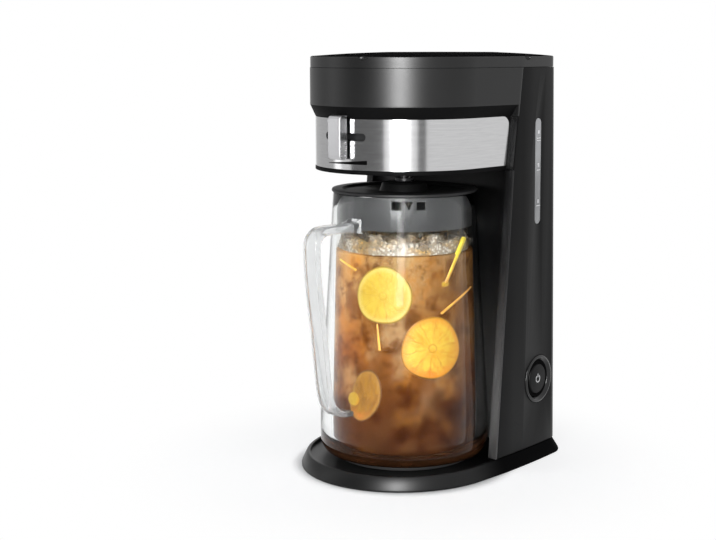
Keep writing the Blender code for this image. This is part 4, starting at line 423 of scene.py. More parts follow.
def lemon_face(name, flesh, deep, rind, walls=0.75, burn=0.8):
    """A steeped lemon slice on its own disc map: rind, soft pith and ten faint wedges of pulp."""
    graph = Graph(name)
    uv = graph.add("ShaderNodeTexCoord", output="UV")
    u, v, _ = graph.parts(uv)
    radius = (u * u + v * v).math("SQRT")
    turn = u.math("ARCTAN2", v)
    wobble = graph.noise(uv, 3.0, 2.0, 0.5)
    wedges = abs((turn * 5.0 + (wobble - 0.5) * 2.4).sine())
    core = graph.eased(abs(radius - 0.13), 0.0, 0.03)
    wall = graph.eased(wedges, 0.0, 0.2) * core
    pulp = graph.noise(graph.joined(turn * 9.0, radius * 3.0, 0.0), 1.6, 3.0, 0.6)
    blot = graph.noise(uv, 2.2, 4.0, 0.6)
    meat = graph.mix(graph.eased(pulp * 0.4 + blot * 0.6, 0.38, 0.66), flesh, deep)
    lines = graph.mix(wall * walls + (1.0 - walls), times(deep, 0.7), meat)
    burnt = graph.mix(graph.eased(v * -1.0 + (blot - 0.5), 0.45, 0.95, 0.0, burn), lines, (0.38, 0.09, 0.01))
    pith = graph.mix(graph.eased(radius, 0.74, 0.9, 0.0, 0.7), burnt, rind)
    edge = graph.mix(graph.eased(radius, 0.92, 0.975), pith, times(deep, 0.62))
    height = wall * 0.7 + pulp * 0.3
    return graph.surface(
        Base_Color=edge, Roughness=0.4, Specular_IOR_Level=0.2, Normal=graph.bump(height, 0.0003, 0.5)
    )


def froth(name):
    """Small bubbles and bits of pulp over the tea, with clear gaps between them."""
    graph = Graph(name)
    place = graph.place()
    height = graph.parts(place)[2]
    cell = graph.cells(place, 420.0)
    patch = graph.noise(place, 90.0, 4.0, 0.65)
    tint = graph.noise(graph.scaled(place, (1.0, 1.0, 1.6)), 55.0, 3.0, 0.6)
    base = graph.mix(graph.eased(tint, 0.4, 0.6), (0.5, 0.47, 0.42), (0.4, 0.24, 0.07))
    speckled = graph.mix(graph.eased(cell, 0.25, 0.6, 0.0, 0.75), base, (0.16, 0.11, 0.06))
    cover = graph.eased(patch + graph.eased(height, 0.206, 0.187, -0.16, 0.16), 0.36, 0.6, 0.0, 0.7)
    return graph.surface(
        Base_Color=speckled, Roughness=0.3, Alpha=cover, Normal=graph.bump(cell, 0.0004, 0.7)
    )


def straw_skin(name, wet, dry):
    """Stir sticks: bright where they stand out of the tea, browner in it."""
    graph = Graph(name)
    place = graph.place()
    height = graph.parts(place)[2]
    shade = graph.noise(place, 120.0, 3.0, 0.5)
    tone = graph.mix(graph.eased(height, 0.165, 0.192), wet, dry)
    base = graph.mix(graph.eased(shade, 0.35, 0.65), graph.tinted(tone, (0.72, 0.64, 0.6)), tone)
    return graph.surface(Base_Color=base, Roughness=0.35, Normal=graph.bump(shade, 0.0001, 0.4))


def ice(name):
    """Melting ice: clear, with cloudy cores and a rippled skin."""
    graph = Graph(name)
    place = graph.place()
    ripple = graph.noise(place, 160.0, 3.0, 0.55)
    cloud = graph.noise(place, 90.0, 4.0, 0.6)
    base = graph.mix(graph.eased(cloud, 0.45, 0.75), (0.96, 0.93, 0.86), (0.85, 0.72, 0.5))
    glass = graph.principled(
        Base_Color=base, Roughness=0.04, IOR=1.31, Transmission_Weight=0.93,
        Normal=graph.bump(ripple, 0.002, 0.8),
    )
    return graph.weak_shadow(glass, 0.7)


# Deep brown at the floor to tan at the top
TEA_STOPS = (
    (0.0, (0.034, 0.011, 0.004)),
    (0.22, (0.058, 0.018, 0.005)),
    (0.5, (0.13, 0.048, 0.012)),
    (0.75, (0.17, 0.08, 0.024)),
    (1.0, (0.22, 0.128, 0.05)),
)

FINISHES = {}


def make_finishes(colours):
    """Makes each finish once, from the colours in the sidebar."""
    black = tuple(colours.shell_black)
    steel = tuple(colours.band_steel)
    FINISHES.update(
        ink=moulded("black_print", (0.002, 0.002, 0.002), 0.6, 0.000002, 0.02),
        shell=moulded("satin_black_shell", black, 0.42, 0.00002, 0.11),
        drum=moulded("satin_black_drum", black, 0.37, 0.00001, 0.36),
        lid=moulded("satin_black_lid", black, 0.37, 0.00001, 0.37),
        # Painted shade: a darker, dull copy of the black for the lid's top.
        crown=moulded("shaded_black_crown", times(black, 0.6), 0.8, 0.00002, 0.001),
        rim=moulded("glossy_black_bezel", black, 0.24, 0.000005, 0.4),
        # Painted highlight: a paler, glossier black for the narrow rim along the tower's crease.
        edge=moulded("crease_highlight_black_edge", (0.02, 0.02, 0.02), 0.2, 0.000005, 0.9),
        # Painted shade: a dull copy of the black for faces under the drum.
        matt=moulded("matt_black_shadow_side", black, 0.6, 0.00002, 0.04),
        base=base_black_shaded_flanks("satin_black_base", black),
        inner=moulded("inner_black_moulding", (0.012, 0.012, 0.013), 0.5, 0.00003, 0.3),
        hollow=hollow_black_painted_light("hollow_wall_black_painted_light", black),
        grey=moulded("grey_moulding", (0.085, 0.085, 0.09), 0.42, 0.00002, 0.4),
        white=moulded("terminal_white_moulding", (0.72, 0.71, 0.66), 0.5, 0.00002, 0.4),
        band=brushed_round("brushed_steel_band", steel, 0.145),
        bright=metal("bright_plated_metal", (0.72, 0.72, 0.73), 0.16),
        knob=metal("brushed_knob_metal", (0.5, 0.5, 0.51), 0.3, (60.0, 60.0, 2400.0), 0.00002),
        # Painted shade: a darker metal for the knob's two side faces.
        knob_side=metal("shaded_polished_knob_side", (0.36, 0.36, 0.365), 0.24),
        screw=metal("zinc_screw_steel", (0.5, 0.5, 0.48), 0.3, (600.0, 600.0, 600.0)),
        aluminium=metal("drawn_aluminium", (0.6, 0.61, 0.62), 0.36),
        element=metal("heater_sheath_steel", (0.36, 0.33, 0.3), 0.42),
        mesh=woven_mesh("woven_filter_steel", (0.5, 0.5, 0.49)),
        gasket=soft_rubber("black_gasket", (0.001, 0.001, 0.001), 0.8, 0.03),
        rubber=soft_rubber("black_rubber_mat", (0.016, 0.016, 0.017)),
        silicone=soft_rubber("milky_silicone", (0.52, 0.52, 0.49), 0.5),
        glass=jug_glass("clear_jug_glass"),
        milky=milky_glass("milky_handle_glass"),
        smoked=moulded("smoked_window", (0.36, 0.365, 0.37), 0.25, 0.00002, 0.5, 0.25),
        tank=clear("clear_tank_plastic", (0.86, 0.9, 0.92), 0.12, 1.3),
        skirt=moulded("grey_lid_skirt", (0.02, 0.02, 0.021), 0.36, 0.00001, 0.5),
        tea=brewed_tea("cloudy_brewed_tea", TEA_STOPS),
        lemon=lemon_face("lemon_slice_face", (0.36, 0.255, 0.03), (0.3, 0.185, 0.015), (0.39, 0.29, 0.08), 0.5, 0.3),
        ripe=lemon_face("ripe_slice_face", (0.41, 0.285, 0.035), (0.36, 0.16, 0.01), (0.4, 0.15, 0.014), 0.85, 1.0),
        sunk=lemon_face("sunk_slice_face", (0.22, 0.11, 0.013), (0.13, 0.05, 0.009), (0.2, 0.1, 0.02)),
        dim=lemon_face("dim_slice_face", (0.34, 0.22, 0.02), (0.26, 0.14, 0.012), (0.3, 0.16, 0.02), 0.3),
        froth=froth("golden_froth"),
        print=moulded("pale_print", (0.82, 0.82, 0.82), 0.5, 0.000002, 0.3),
        straw=straw_skin("yellow_stir_stick", (0.56, 0.29, 0.035), (0.62, 0.5, 0.02)),
        ice=ice("melting_ice"),
    )


# Pieces


def shade(mesh):
    mesh.shade_smooth()
    mesh.set_sharp_from_angle(angle=SMOOTH_ANGLE)


def outward(work):
    """Turns all faces of a closed shape outwards."""
    bmesh.ops.recalc_face_normals(work, faces=work.faces)


def mesh_of(work, name):
    """The mesh of a finished bmesh."""
    mesh = bpy.data.meshes.new(name)
    work.to_mesh(mesh)
    work.free()
    return mesh


def linked(name, data):
    thing = bpy.data.objects.new(name, data)
    bpy.context.scene.collection.objects.link(thing)
    return thing


def placed(name, work, finish, body, replaced=()):
    """Turns a bmesh into a piece that rides on a body."""
    mesh = mesh_of(work, name)
    mesh.materials.append(FINISHES[finish])
    shade(mesh)
    piece = linked(name, mesh)
    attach(piece, body)
    if replaced:
        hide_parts(*replaced)
    return piece


def ease(work, edges, width, segments=2, clamp=False):
    """Rounds edges of a shape."""
    bmesh.ops.bevel(work, geom=edges, offset=width, offset_type="OFFSET", segments=segments, profile=0.5,
                    affect="EDGES", clamp_overlap=clamp, material=-1)


def round_edges(work, width, segments=2, angle=radians(38), top=1.0):
    """Rounds the sharp edges of a closed shape, up to a height."""
    sharp = [e for e in work.edges if len(e.link_faces) == 2 and e.calc_face_angle(0.0) > angle
             and max(v.co.z for v in e.verts) < top]
    if sharp:
        ease(work, sharp, width, segments)


def cut_across(work, place, direction, **sides):
    """Cuts all faces of a shape along a plane."""
    bmesh.ops.bisect_plane(work, geom=list(work.verts) + list(work.edges) + list(work.faces), plane_co=place,
                           plane_no=direction, **sides)


def thickened(work, face, rise):
    """A flat face, made solid upwards."""
    made = bmesh.ops.extrude_face_region(work, geom=[face])["geom"]
    bmesh.ops.translate(work, verts=[v for v in made if isinstance(v, bmesh.types.BMVert)], vec=(0, 0, rise))
    outward(work)


def extruded_on(work, face, number):
    """The far face of one more length, for a chain whose inner faces go."""
    made = bmesh.ops.extrude_face_region(work, geom=[face])["geom"]
    if number and face.is_valid:
        bmesh.ops.delete(work, geom=[face], context="FACES_ONLY")
    return next(item for item in made if isinstance(item, bmesh.types.BMFace))


def block(size):
    """A block of three sizes about its middle."""
    work = bmesh.new()
    bmesh.ops.create_cube(work, size=1.0)
    bmesh.ops.scale(work, verts=work.verts, vec=size)
    return work


def about_axis(turn, away, height):
    """The place at a turn from the front, a distance from the drum's axis and a height."""
    return away * sin(turn), -away * cos(turn) + AXIS_Y, height


def wrapped(work, radius, lift=0.0):
    """Bends a flat shape of widths, heights and distances round the drum's axis."""
    for vertex in work.verts:
        across, up, away = vertex.co
        vertex.co = about_axis(across / radius, away, lift + up)
    outward(work)


def node_copy(node):
    """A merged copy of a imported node, with its flat faces whole again."""
    work = bmesh.new()
    work.from_mesh(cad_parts[node].data)
    bmesh.ops.remove_doubles(work, verts=work.verts, dist=0.00002)
    bmesh.ops.dissolve_limit(work, angle_limit=radians(0.8), verts=work.verts, edges=work.edges)
    return work


def dress(node, finish, width=0.0, body=BODY, segments=2):
    """A node with eased edges and smooth rounds in its place."""
    work = node_copy(node)
    if width:
        round_edges(work, width, segments)
    return placed("dressed_" + node, work, finish, body, (node,))


def recolour(node, finish):
    """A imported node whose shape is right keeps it, and takes a finish."""
    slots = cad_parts[node].data.materials
    slots.clear()
    slots.append(FINISHES[finish])


def turned(profile, steps, y=AXIS_Y):
    """A profile of (radius, height) spun about an upright axis. It runs down the outer side from the top."""
    work = bmesh.new()
    points = [work.verts.new((radius, y, height)) for radius, height in profile]
    edges = [work.edges.new(pair) for pair in zip(points, points[1:])]
    bmesh.ops.spin(work, geom=points + edges, cent=(0, y, 0), axis=(0, 0, 1), angle=2 * pi,
                   steps=steps, use_merge=True)
    bmesh.ops.remove_doubles(work, verts=work.verts, dist=0.000002)
    outward(work)
    return work


ON_EDGE = Matrix(((0, 0, 1, 0), (1, 0, 0, 0), (0, 1, 0, 0), (0, 0, 0, 1)))


def lerp(low, high, share):
    return low + (high - low) * share


def extruded(outline, low, high, matrix=Matrix.Identity(4)):
    """A flat outline in XY, made solid from one height to another."""
    work = bmesh.new()
    face = work.faces.new([work.verts.new((x, y, low)) for x, y in outline])
    thickened(work, face, high - low)
    bmesh.ops.transform(work, matrix=matrix, verts=work.verts)
    return work


def joined(piece, second, finish, operation="UNION"):
    """Adds or cuts a second shape, whose faces keep a finish of their own."""
    mesh = mesh_of(second, "second_shape")
    mesh.materials.append(FINISHES[finish])
    helper = linked("second_shape", mesh)
    modifier = piece.modifiers.new("join", "BOOLEAN")
    modifier.operation = operation
    modifier.solver = "MANIFOLD"
    modifier.object = helper
    modifier.material_mode = "TRANSFER"
    bpy.context.view_layer.update()
    graph = bpy.context.evaluated_depsgraph_get()
    result = bpy.data.meshes.new_from_object(piece.evaluated_get(graph))
    piece.modifiers.clear()
    old = piece.data
    piece.data = result
    bpy.data.meshes.remove(old)
    bpy.data.objects.remove(helper)
    bpy.data.meshes.remove(mesh)
    shade(piece.data)


def second_finish(piece, finish, test):
    """Faces that pass a test take another finish."""
    slots = piece.data.materials
    number = slots.find(FINISHES[finish].name)
    if number < 0:
        slots.append(FINISHES[finish])
        number = len(slots) - 1
    for face in piece.data.polygons:
        if test(face):
            face.material_index = number


# Jug forms

JUG_BOTTOM, JUG_TOP = 0.014, 0.2355
JUG_FOOT_RADIUS, JUG_RADIUS, JUG_TOP_RADIUS = 0.066, 0.0722, 0.0602
JUG_HEEL, JUG_BELLY, JUG_FLOOR = 0.026, 0.046, 0.0045
FLOOR_CORNER, FLOOR_CORNER_WIDTH = 0.012, 0.009
WALL_AT_FOOT, WALL_AT_TOP = 0.0105, 0.0024
RIM_HEIGHT, RIM_ROUND = 0.2347, 0.0008
LIP_HEIGHT, LIP_HALF_TURN, LIP_REACH = 0.026, radians(26), 0.007
HANDLE_HALF_WIDTH, HANDLE_ROUND = 0.0073, 0.0014
HANDLE_LINE = (
    (0.0585, 0.2115, 0.0135), (0.066, 0.2108, 0.0085), (0.076, 0.2108, 0.0065), (0.097, 0.2108, 0.0065),
    (0.1042, 0.209, 0.0065), (0.109, 0.2045, 0.0065), (0.1106, 0.1975, 0.0065), (0.1095, 0.175, 0.0065),
    (0.1063, 0.149, 0.0063), (0.1027, 0.1225, 0.006), (0.0997, 0.096, 0.0058), (0.0979, 0.082, 0.0056),
    (0.0949, 0.0705, 0.0054), (0.0893, 0.0628, 0.0052), (0.0815, 0.0587, 0.0048), (0.0706, 0.0572, 0.0044),
)


def jug_radius(height):
    if height <= JUG_HEEL:
        share = (JUG_HEEL - height) / (JUG_HEEL - JUG_BOTTOM)
        return JUG_FOOT_RADIUS + (JUG_RADIUS - JUG_FOOT_RADIUS) * sqrt(max(0.0, 1 - share**2))
    if height <= JUG_BELLY:
        return JUG_RADIUS
    return lerp(JUG_RADIUS, JUG_TOP_RADIUS, (height - JUG_BELLY) / (JUG_TOP - JUG_BELLY))


def jug_wall(height):
    return lerp(WALL_AT_FOOT, WALL_AT_TOP, (height - JUG_BOTTOM) / (JUG_TOP - JUG_BOTTOM))


def inner_radius(height):
    """The bore of the jug, with a round floor corner."""
    floor = JUG_BOTTOM + JUG_FLOOR
    radius = jug_radius(max(height, JUG_HEEL)) - jug_wall(height)
    rise = min(1.0, max(0.0, (height - floor) / FLOOR_CORNER))
    return radius - FLOOR_CORNER_WIDTH * (1 - sqrt(max(0.0, 1 - (1 - rise) ** 2)))


def curve_through(rows, count):
    """Evenly spread points on a smooth line through rows of numbers."""
    spans = len(rows) - 1
    made = []
    for i in range(count + 1):
        place = spans * i / count
        k = min(int(place), spans - 1)
        t = place - k
        a, b, c, d = rows[max(k - 1, 0)], rows[k], rows[k + 1], rows[min(k + 2, spans)]
        made.append(tuple(
            0.5 * (2 * q + (r - p) * t + (2 * p - 5 * q + 4 * r - u) * t * t + (3 * q - p - 3 * r + u) * t**3)
            for p, q, r, u in zip(a, b, c, d)
        ))
    return made


# Shell plans, about the axis


def front_quarter(side, reach, inset=0.0, steps=40):
    """From the front middle to the right side."""
    turns = [pi / 2 * i / steps for i in range(steps + 1)]
    points = [((side - inset) * sin(turn), -(reach - inset) * cos(turn)) for turn in turns]
    points[0] = (0.0, -(reach - inset))
    return points


def rear_side(half_width, corner, back, inset, start, rows=(8, 10)):
    """The long right side, and the corner at the flat back."""
    centre = half_width - SIDE_ROUND
    rounding = max(corner - inset, 0.003)
    corner_y = back - inset - rounding
    reach = SIDE_ROUND - inset - rounding
    lean = asin((corner_y - SIDE_START) / reach)
    corner_x = centre + reach * cos(lean)
    radius = SIDE_ROUND - inset
    first = asin(max(0.0, (start - SIDE_START) / radius))
    points = [(centre + radius * cos(first), start)]
    for i in range(1, rows[0] + 1):
        turn = lerp(first, lean, i / rows[0])
        points.append((centre + radius * cos(turn), SIDE_START + radius * sin(turn)))
    for i in range(1, rows[1] + 1):
        turn = lerp(lean, pi / 2, i / rows[1])
        points.append((corner_x + rounding * cos(turn), corner_y + rounding * sin(turn)))
    return points


def tower_share(height):
    return (height - BASE_TOP) / (HEAD_TOP - BASE_TOP)


def bay_share(height):
    return (height - BASE_TOP) / (HEAD_BOTTOM - BASE_TOP)


def tower_width(height):
    return lerp(*TOWER_HALF_WIDTH, tower_share(height))


def tower_back(height):
    return lerp(*TOWER_BACK, tower_share(height))


def crease_back(height):
    if height < HEAD_BOTTOM:
        return lerp(*CREASE_BELOW_HEAD, bay_share(height))
    return lerp(*CREASE_BESIDE_HEAD, (height - HEAD_BOTTOM) / (HEAD_TOP - HEAD_BOTTOM))


def recess_depth(height):
    return lerp(*RECESS_DEPTH, bay_share(height))


def recess_arc(height, outset, steps=36):
    crease = crease_back(height)
    deep = recess_depth(height) + outset - crease
    points = []
    for i in range(1, steps + 1):
        turn = pi / 2 * i / steps
        points.append((max(0.0, (RECESS_SIDE + outset) * cos(turn)), crease + deep * sin(turn)))
    points[-1] = (0.0, points[-1][1])
    return points


def tower_side_x(height, back):
    rise = max(0.0, back - SIDE_START)
    return tower_width(height) - SIDE_ROUND + sqrt(SIDE_ROUND**2 - rise**2)


def whole(half):
    """A closed plan from its right half."""
    return half + [(-x, y) for x, y in reversed(half) if x > 0]


def mirrored(line):
    return [(-x, y) for x, y in reversed(line)]


def at_height(points, height):
    return [(x, y + AXIS_Y, height) for x, y in points]


def lofted(rings):
    """A closed solid: the first outline is extruded, and set to each next outline in turn."""
    work = bmesh.new()
    face = work.faces.new([work.verts.new(place) for place in rings[0]])
    for number, (old, new) in enumerate(zip(rings, rings[1:])):
        targets = {tuple(vert.co): place for vert, place in zip(face.verts, new)}
        face = extruded_on(work, face, number)
        for vert in face.verts:
            vert.co = targets[tuple(vert.co)]
        corners = {tuple(round(value, 7) for value in vert.co): vert for vert in face.verts}
        if len(corners) != len(new):
            raise ValueError("an outline meets itself")
    outward(work)
    return work


# Operators


class TEA_OT_jug(bpy.types.Operator):
    """Blow the glass jug, with its straight bore, pouring lip and ribbon handle"""

    bl_idname = "tea_maker.jug"
    bl_label = "Glass Jug"

    def execute(self, context):
        inside, outside = self.inside(), self.outside()
        rim_inner, rim_outer = inside[-1][0], outside[0][0]
        middle = (rim_inner + rim_outer) / 2
        rim = [(middle - (middle - rim_inner) * cos(pi * i / 6), RIM_HEIGHT + RIM_ROUND * sin(pi * i / 6))
               for i in range(1, 6)]
        work = turned(inside + rim + outside, 120)
        self.pull_lip(work)
        jug = placed("glass_jug", work, "glass", "jug", ("jug",))
        joined(jug, self.strap(), "milky")
        return {"FINISHED"}

    @staticmethod
    def inside():
        """From the middle of the floor round its corner and up the bore."""
        floor = JUG_BOTTOM + JUG_FLOOR
        heights = [floor + FLOOR_CORNER * (1 - cos(pi / 2 * i / 8)) for i in range(9)]
        heights += [lerp(floor + FLOOR_CORNER + 0.002, RIM_HEIGHT, i / 16) for i in range(17)]
        return [(0.0, floor)] + [(inner_radius(h), h) for h in heights]

    @staticmethod
    def outside():
        """From the rim down the wall and the round heel to the hollowed underside."""
        heights = [lerp(RIM_HEIGHT, JUG_BELLY + 0.006, i / 16) for i in range(17)] + [JUG_BELLY, JUG_HEEL + 0.01]
        heights += [lerp(JUG_HEEL, JUG_BOTTOM, sin(pi / 2 * i / 8)) for i in range(9)]
        underside = [(reach, JUG_BOTTOM + rise) for reach, rise in ((0.06, 0.0002), (0.05, 0.0012), (0.0, 0.0016))]
        return [(jug_radius(h), h) for h in heights] + underside

    @staticmethod
    def pull_lip(work):
        """Draws the rim out to the pouring lip, across from the handle."""
        for vertex in work.verts:
            x, y, height = vertex.co
            y -= AXIS_Y
            rise = (height - (JUG_TOP - LIP_HEIGHT)) / LIP_HEIGHT
            turn = abs(atan2(x, y))
            if rise > 0 and turn < LIP_HALF_TURN:
                share = cos(pi / 2 * turn / LIP_HALF_TURN) ** 2 * rise**2
                pull = 1 + LIP_REACH * share / sqrt(x * x + y * y)
                vertex.co = (x * pull, y * pull + AXIS_Y, height)

    @staticmethod
    def strap():
        """The ribbon handle: its side outline lies square to its middle line all along."""
        line = curve_through(HANDLE_LINE, 60)
        left, right = [], []
        for i, (reach, height, thick) in enumerate(line):
            before, after = line[max(i - 1, 0)], line[min(i + 1, len(line) - 1)]
            along = Vector((after[0] - before[0], after[1] - before[1])).normalized()
            across = Vector((-along.y, along.x)) * thick / 2
            left.append((-(reach + across.x), height + across.y))
            right.append((-(reach - across.x), height - across.y))
        upright = Matrix.Translation((0, AXIS_Y, 0)) @ ON_EDGE
        strap = extruded(left + right[::-1], -HANDLE_HALF_WIDTH, HANDLE_HALF_WIDTH, upright)
        rims = [e for e in strap.edges if abs(abs(e.verts[0].co.x) - HANDLE_HALF_WIDTH) < 1e-6
                and abs(e.verts[0].co.x - e.verts[1].co.x) < 1e-6]
        ease(strap, rims, HANDLE_ROUND, 3)
        return strap


class TEA_OT_jug_lid(bpy.types.Operator):
    """Turn the jug's lid and its skirt with the strainer slots"""

    bl_idname = "tea_maker.jug_lid"
    bl_label = "Jug Lid"

    def execute(self, context):
        dress("jug_lid", "inner", 0.0004, "jug_lid")
        dress("lid_skirt", "skirt", 0.00025, "jug_lid")
        return {"FINISHED"}


# Turn, height, radius, width share, tilt and finish
LEMON_SLICES = (
    (24.9, 0.1554, 0.0236, 1.0, 12.0, "lemon"), (62.9, 0.1118, 0.0256, 1.0, -8.0, "ripe"),
    (11.0, 0.0715, 0.0225, 0.6, -16.0, "sunk"), (1.5, 0.0675, 0.0058, 1.0, 70.0, "dim"),
    (150.0, 0.12, 0.024, 1.0, 10.0, "lemon"), (-110.0, 0.09, 0.0235, 1.0, 0.0, "ripe"),
)
# Two ends, each a place across the view and a height, then radius and far thickness
STIR_STICKS = (
    ((0.0329, 0.1646), (0.0482, 0.1996), 0.0019, 1.2), ((0.029, 0.1398), (0.0535, 0.1575), 0.0017, 0.8),
    ((-0.0195, 0.1103), (-0.0215, 0.1322), 0.0014, 0.6), ((-0.0382, 0.1742), (-0.0518, 0.1811), 0.0017, 0.8),
)
STICK_LENGTHS = 14
# Reach and count
ICE_RINGS = ((0.0475, 15), (0.031, 8), (0.012, 3))


class TEA_OT_tea(bpy.types.Operator):
    """Fill the jug with tea, ice, lemon slices and stir sticks"""

    bl_idname = "tea_maker.tea"
    bl_label = "Iced Tea"

    def execute(self, context):
        level = context.scene.tea_maker_sizes.tea_level
        heights = [lerp(0.0191, 0.034, i / 8) for i in range(9)] + [lerp(0.038, level, i / 14) for i in range(15)]
        side = [(inner_radius(h) - 0.0009, h) for h in heights]
        profile = [(0.0, 0.0189)] + side + [(side[-1][0] - 0.001, level + 0.0004), (0.0, level + 0.0004)]
        placed("brewed_tea", turned(profile, 96), "tea", "jug")
        self.slices(context.scene.tea_maker_sizes.slice_thickness)
        self.sticks()
        self.cubes(level, context.scene.tea_maker_sizes.ice_size)
        self.froth_ring(level)
        return {"FINISHED"}

    def slices(self, thick):
        """Lemon slices that lie against the wall."""
        for number, (turn, height, radius, wide, tilt, finish) in enumerate(LEMON_SLICES, 1):
            work = bmesh.new()
            bmesh.ops.create_circle(work, cap_ends=True, segments=72, radius=radius)
            thickened(work, next(iter(work.faces)), thick)
            round_edges(work, 0.0008)
            layer = work.loops.layers.uv.new("disc")
            for face in work.faces:
                for loop in face.loops:
                    loop[layer].uv = (loop.vert.co.x / radius, loop.vert.co.y / radius)
            bmesh.ops.triangulate(work, faces=work.faces)
            cap = [edge for edge in work.edges if edge.calc_length() > radius * 0.3]
            bmesh.ops.subdivide_edges(work, edges=cap, cuts=5, use_grid_fill=True)
            lean, gap = radians(tilt), 0.0001 if finish == "dim" else 0.0003
            for vertex in work.verts:
                x, y, out = vertex.co
                bulge = 1 + 0.022 * sin(3 * atan2(x, y) + number) + 0.012 * sin(5 * atan2(x, y))
                x, y = x * bulge * wide, y * bulge
                across = x * cos(lean) - y * sin(lean)
                up = height + x * sin(lean) + y * cos(lean)
                away = inner_radius(up) - gap - (thick - out) * 0.7
                vertex.co = about_axis(radians(turn) + across / (inner_radius(height) - 0.0002), away, up)
            outward(work)
            placed(f"lemon_slice_{number}", work, finish, "jug")

    def sticks(self):
        """Stir sticks along the wall, and a pip at the head of the longest."""
        for number, (low, high, radius, ends) in enumerate(STIR_STICKS, 1):
            work = bmesh.new()
            bmesh.ops.create_circle(work, cap_ends=True, segments=12, radius=radius)
            face = next(iter(work.faces))
            for i in range(STICK_LENGTHS):
                face = extruded_on(work, face, i)
                bmesh.ops.translate(work, verts=face.verts, vec=(0, 0, 1.0))
            slant = atan2(high[1] - low[1], high[0] - low[0])
            for vertex in work.verts:
                x, y, along = vertex.co
                share = along / STICK_LENGTHS
                thick = lerp(1.0, ends, share)
                side = lerp(low[0], high[0], share) - x * sin(slant) * thick
                height = lerp(low[1], high[1], share) + x * cos(slant) * thick
                reach = inner_radius(height) - 0.0004 - radius + y
                turn = asin(max(-0.97, min(0.97, side / reach))) + radians(PHOTO_TURN)
                vertex.co = about_axis(turn, reach, height)
            outward(work)
            round_edges(work, radius * 0.3)
            placed(f"stir_stick_{number}", work, "straw", "jug")
        work = bmesh.new()
        bmesh.ops.create_icosphere(work, subdivisions=4, radius=1.0)
        for vertex in work.verts:
            x, y, z = vertex.co
            lump = 1 + 0.14 * sin(4 * x + 1) * cos(5 * z)
            height = 0.1638 + 0.0034 * z * lump
            reach = inner_radius(height) - 0.0022 + 0.0018 * y
            vertex.co = about_axis(asin((0.0325 + 0.0046 * x * lump) / reach) + radians(PHOTO_TURN), reach, height)
        outward(work)
        placed("lemon_pip", work, "dim", "jug")

    def cubes(self, level, least):
        """Ice in three rings, each cube with its own size, skew and turn."""
        spots = [(2 * pi * (i + 0.37 * ring) / count, reach, ring * 50 + i)
                 for ring, (reach, count) in enumerate(ICE_RINGS) for i in range(count)]
        for number, (turn, reach, seed) in enumerate(spots, 1):
            size = least + 0.006 * ((seed * 7) % 5) / 5
            work = bmesh.new()
            bmesh.ops.create_cube(work, size=size)
            ease(work, list(work.edges), size * 0.1, 2, True)
            wide, deep, skew = 1.25 + 0.3 * sin(seed), 0.8 + 0.3 * cos(seed * 2.0), 0.3 * sin(seed * 3.0)
            for vertex in work.verts:
                x, y, z = vertex.co
                vertex.co = (x * wide, y * deep, z + x * skew)
            lift = level + size * (0.25 + 0.2 * ((seed * 3) % 4) / 4)
            place = Matrix.Translation((reach * sin(turn), reach * cos(turn) + AXIS_Y, lift))
            spin = Matrix.Rotation(seed * 1.7, 4, "X") @ Matrix.Rotation(seed * 2.3, 4, "Y")
            bmesh.ops.transform(work, matrix=place @ (spin @ Matrix.Rotation(seed, 4, "Z")), verts=work.verts)
            placed(f"ice_cube_{number}", work, "ice", "jug")

    def froth_ring(self, level):
        """A thin lace of bubbles along the wall above the tea."""
        low, high, gap, thick = level + 0.0006, level + 0.0175, 0.0046, 0.0006
        heights = [lerp(low, high, i / 8) for i in range(9)]
        outer = [(inner_radius(h) - gap, h) for h in reversed(heights)]
        inner = [(inner_radius(h) - gap - thick, h) for h in heights]
        placed("froth_lace", turned(outer + inner + outer[:1], 96), "froth", "jug")


class TEA_OT_base(bpy.types.Operator):
    """Shape the base with its flared edge and sunk tray, and dress its mat, cover, feet and screws"""

    bl_idname = "tea_maker.base"
    bl_label = "Base"

    def execute(self, context):
        dress("base_shell", "base", 0.0003)
        dress("jug_seat", "rubber", 0.0003)
        dress("bottom_cover", "inner")
        for i in range(1, 5):
            dress(f"foot_{i}", "rubber")
            dress(f"base_screw_{i}", "screw")
        return {"FINISHED"}


class TEA_OT_tower(bpy.types.Operator):
    """Dress the leaning tower, the hollow wall behind the jug, and what shows on its back"""

    bl_idname = "tea_maker.tower"
    bl_label = "Tower"

    def execute(self, context):
        tower = dress("tower_shell", "shell", 0.0005)
        # The crease rim takes the paler glossy black: a painted highlight line.
        second_finish(tower, "edge", self.at_crease)
        self.flat_back(tower)
        self.front()
        dress("cord_gland", "rubber", 0.0002)
        return {"FINISHED"}

    @staticmethod
    def flat_back(tower):
        """The back wall is flat, so the eased rims of its vents don't tilt its shading."""
        facing_back = cos(radians(11))
        for face in tower.data.polygons:
            if face.normal.y > facing_back:
                face.use_smooth = False

    @staticmethod
    def at_crease(face):
        """The narrow rim along the leaning crease, whose paler glossy finish is a painted highlight line."""
        back = face.center.y - AXIS_Y - crease_back(face.center.z)
        return abs(back) < 0.0008 and abs(face.normal.y) < 0.95 and abs(face.center.x) > 0.07

    def front(self):
        """The two cheeks and the hollow wall, as one skin of even thickness."""
        rings = []
        for height in (0.0123, 0.06, 0.12, 0.18, 0.2545):
            crease = crease_back(height)
            side = tower_width(height)
            front = [(side, crease), (RECESS_SIDE, crease)] + recess_arc(height, 0)
            rear = [(side, crease + WALL), (RECESS_SIDE + WALL, crease + WALL)] + recess_arc(height, WALL)
            rings.append(at_height(front + mirrored(front)[1:] + mirrored(rear)[::-1] + rear[::-1][1:], height))
        work = lofted(rings)
        round_edges(work, 0.0004)
        placed("hollow_wall", work, "hollow", BODY, ("tower_front",))


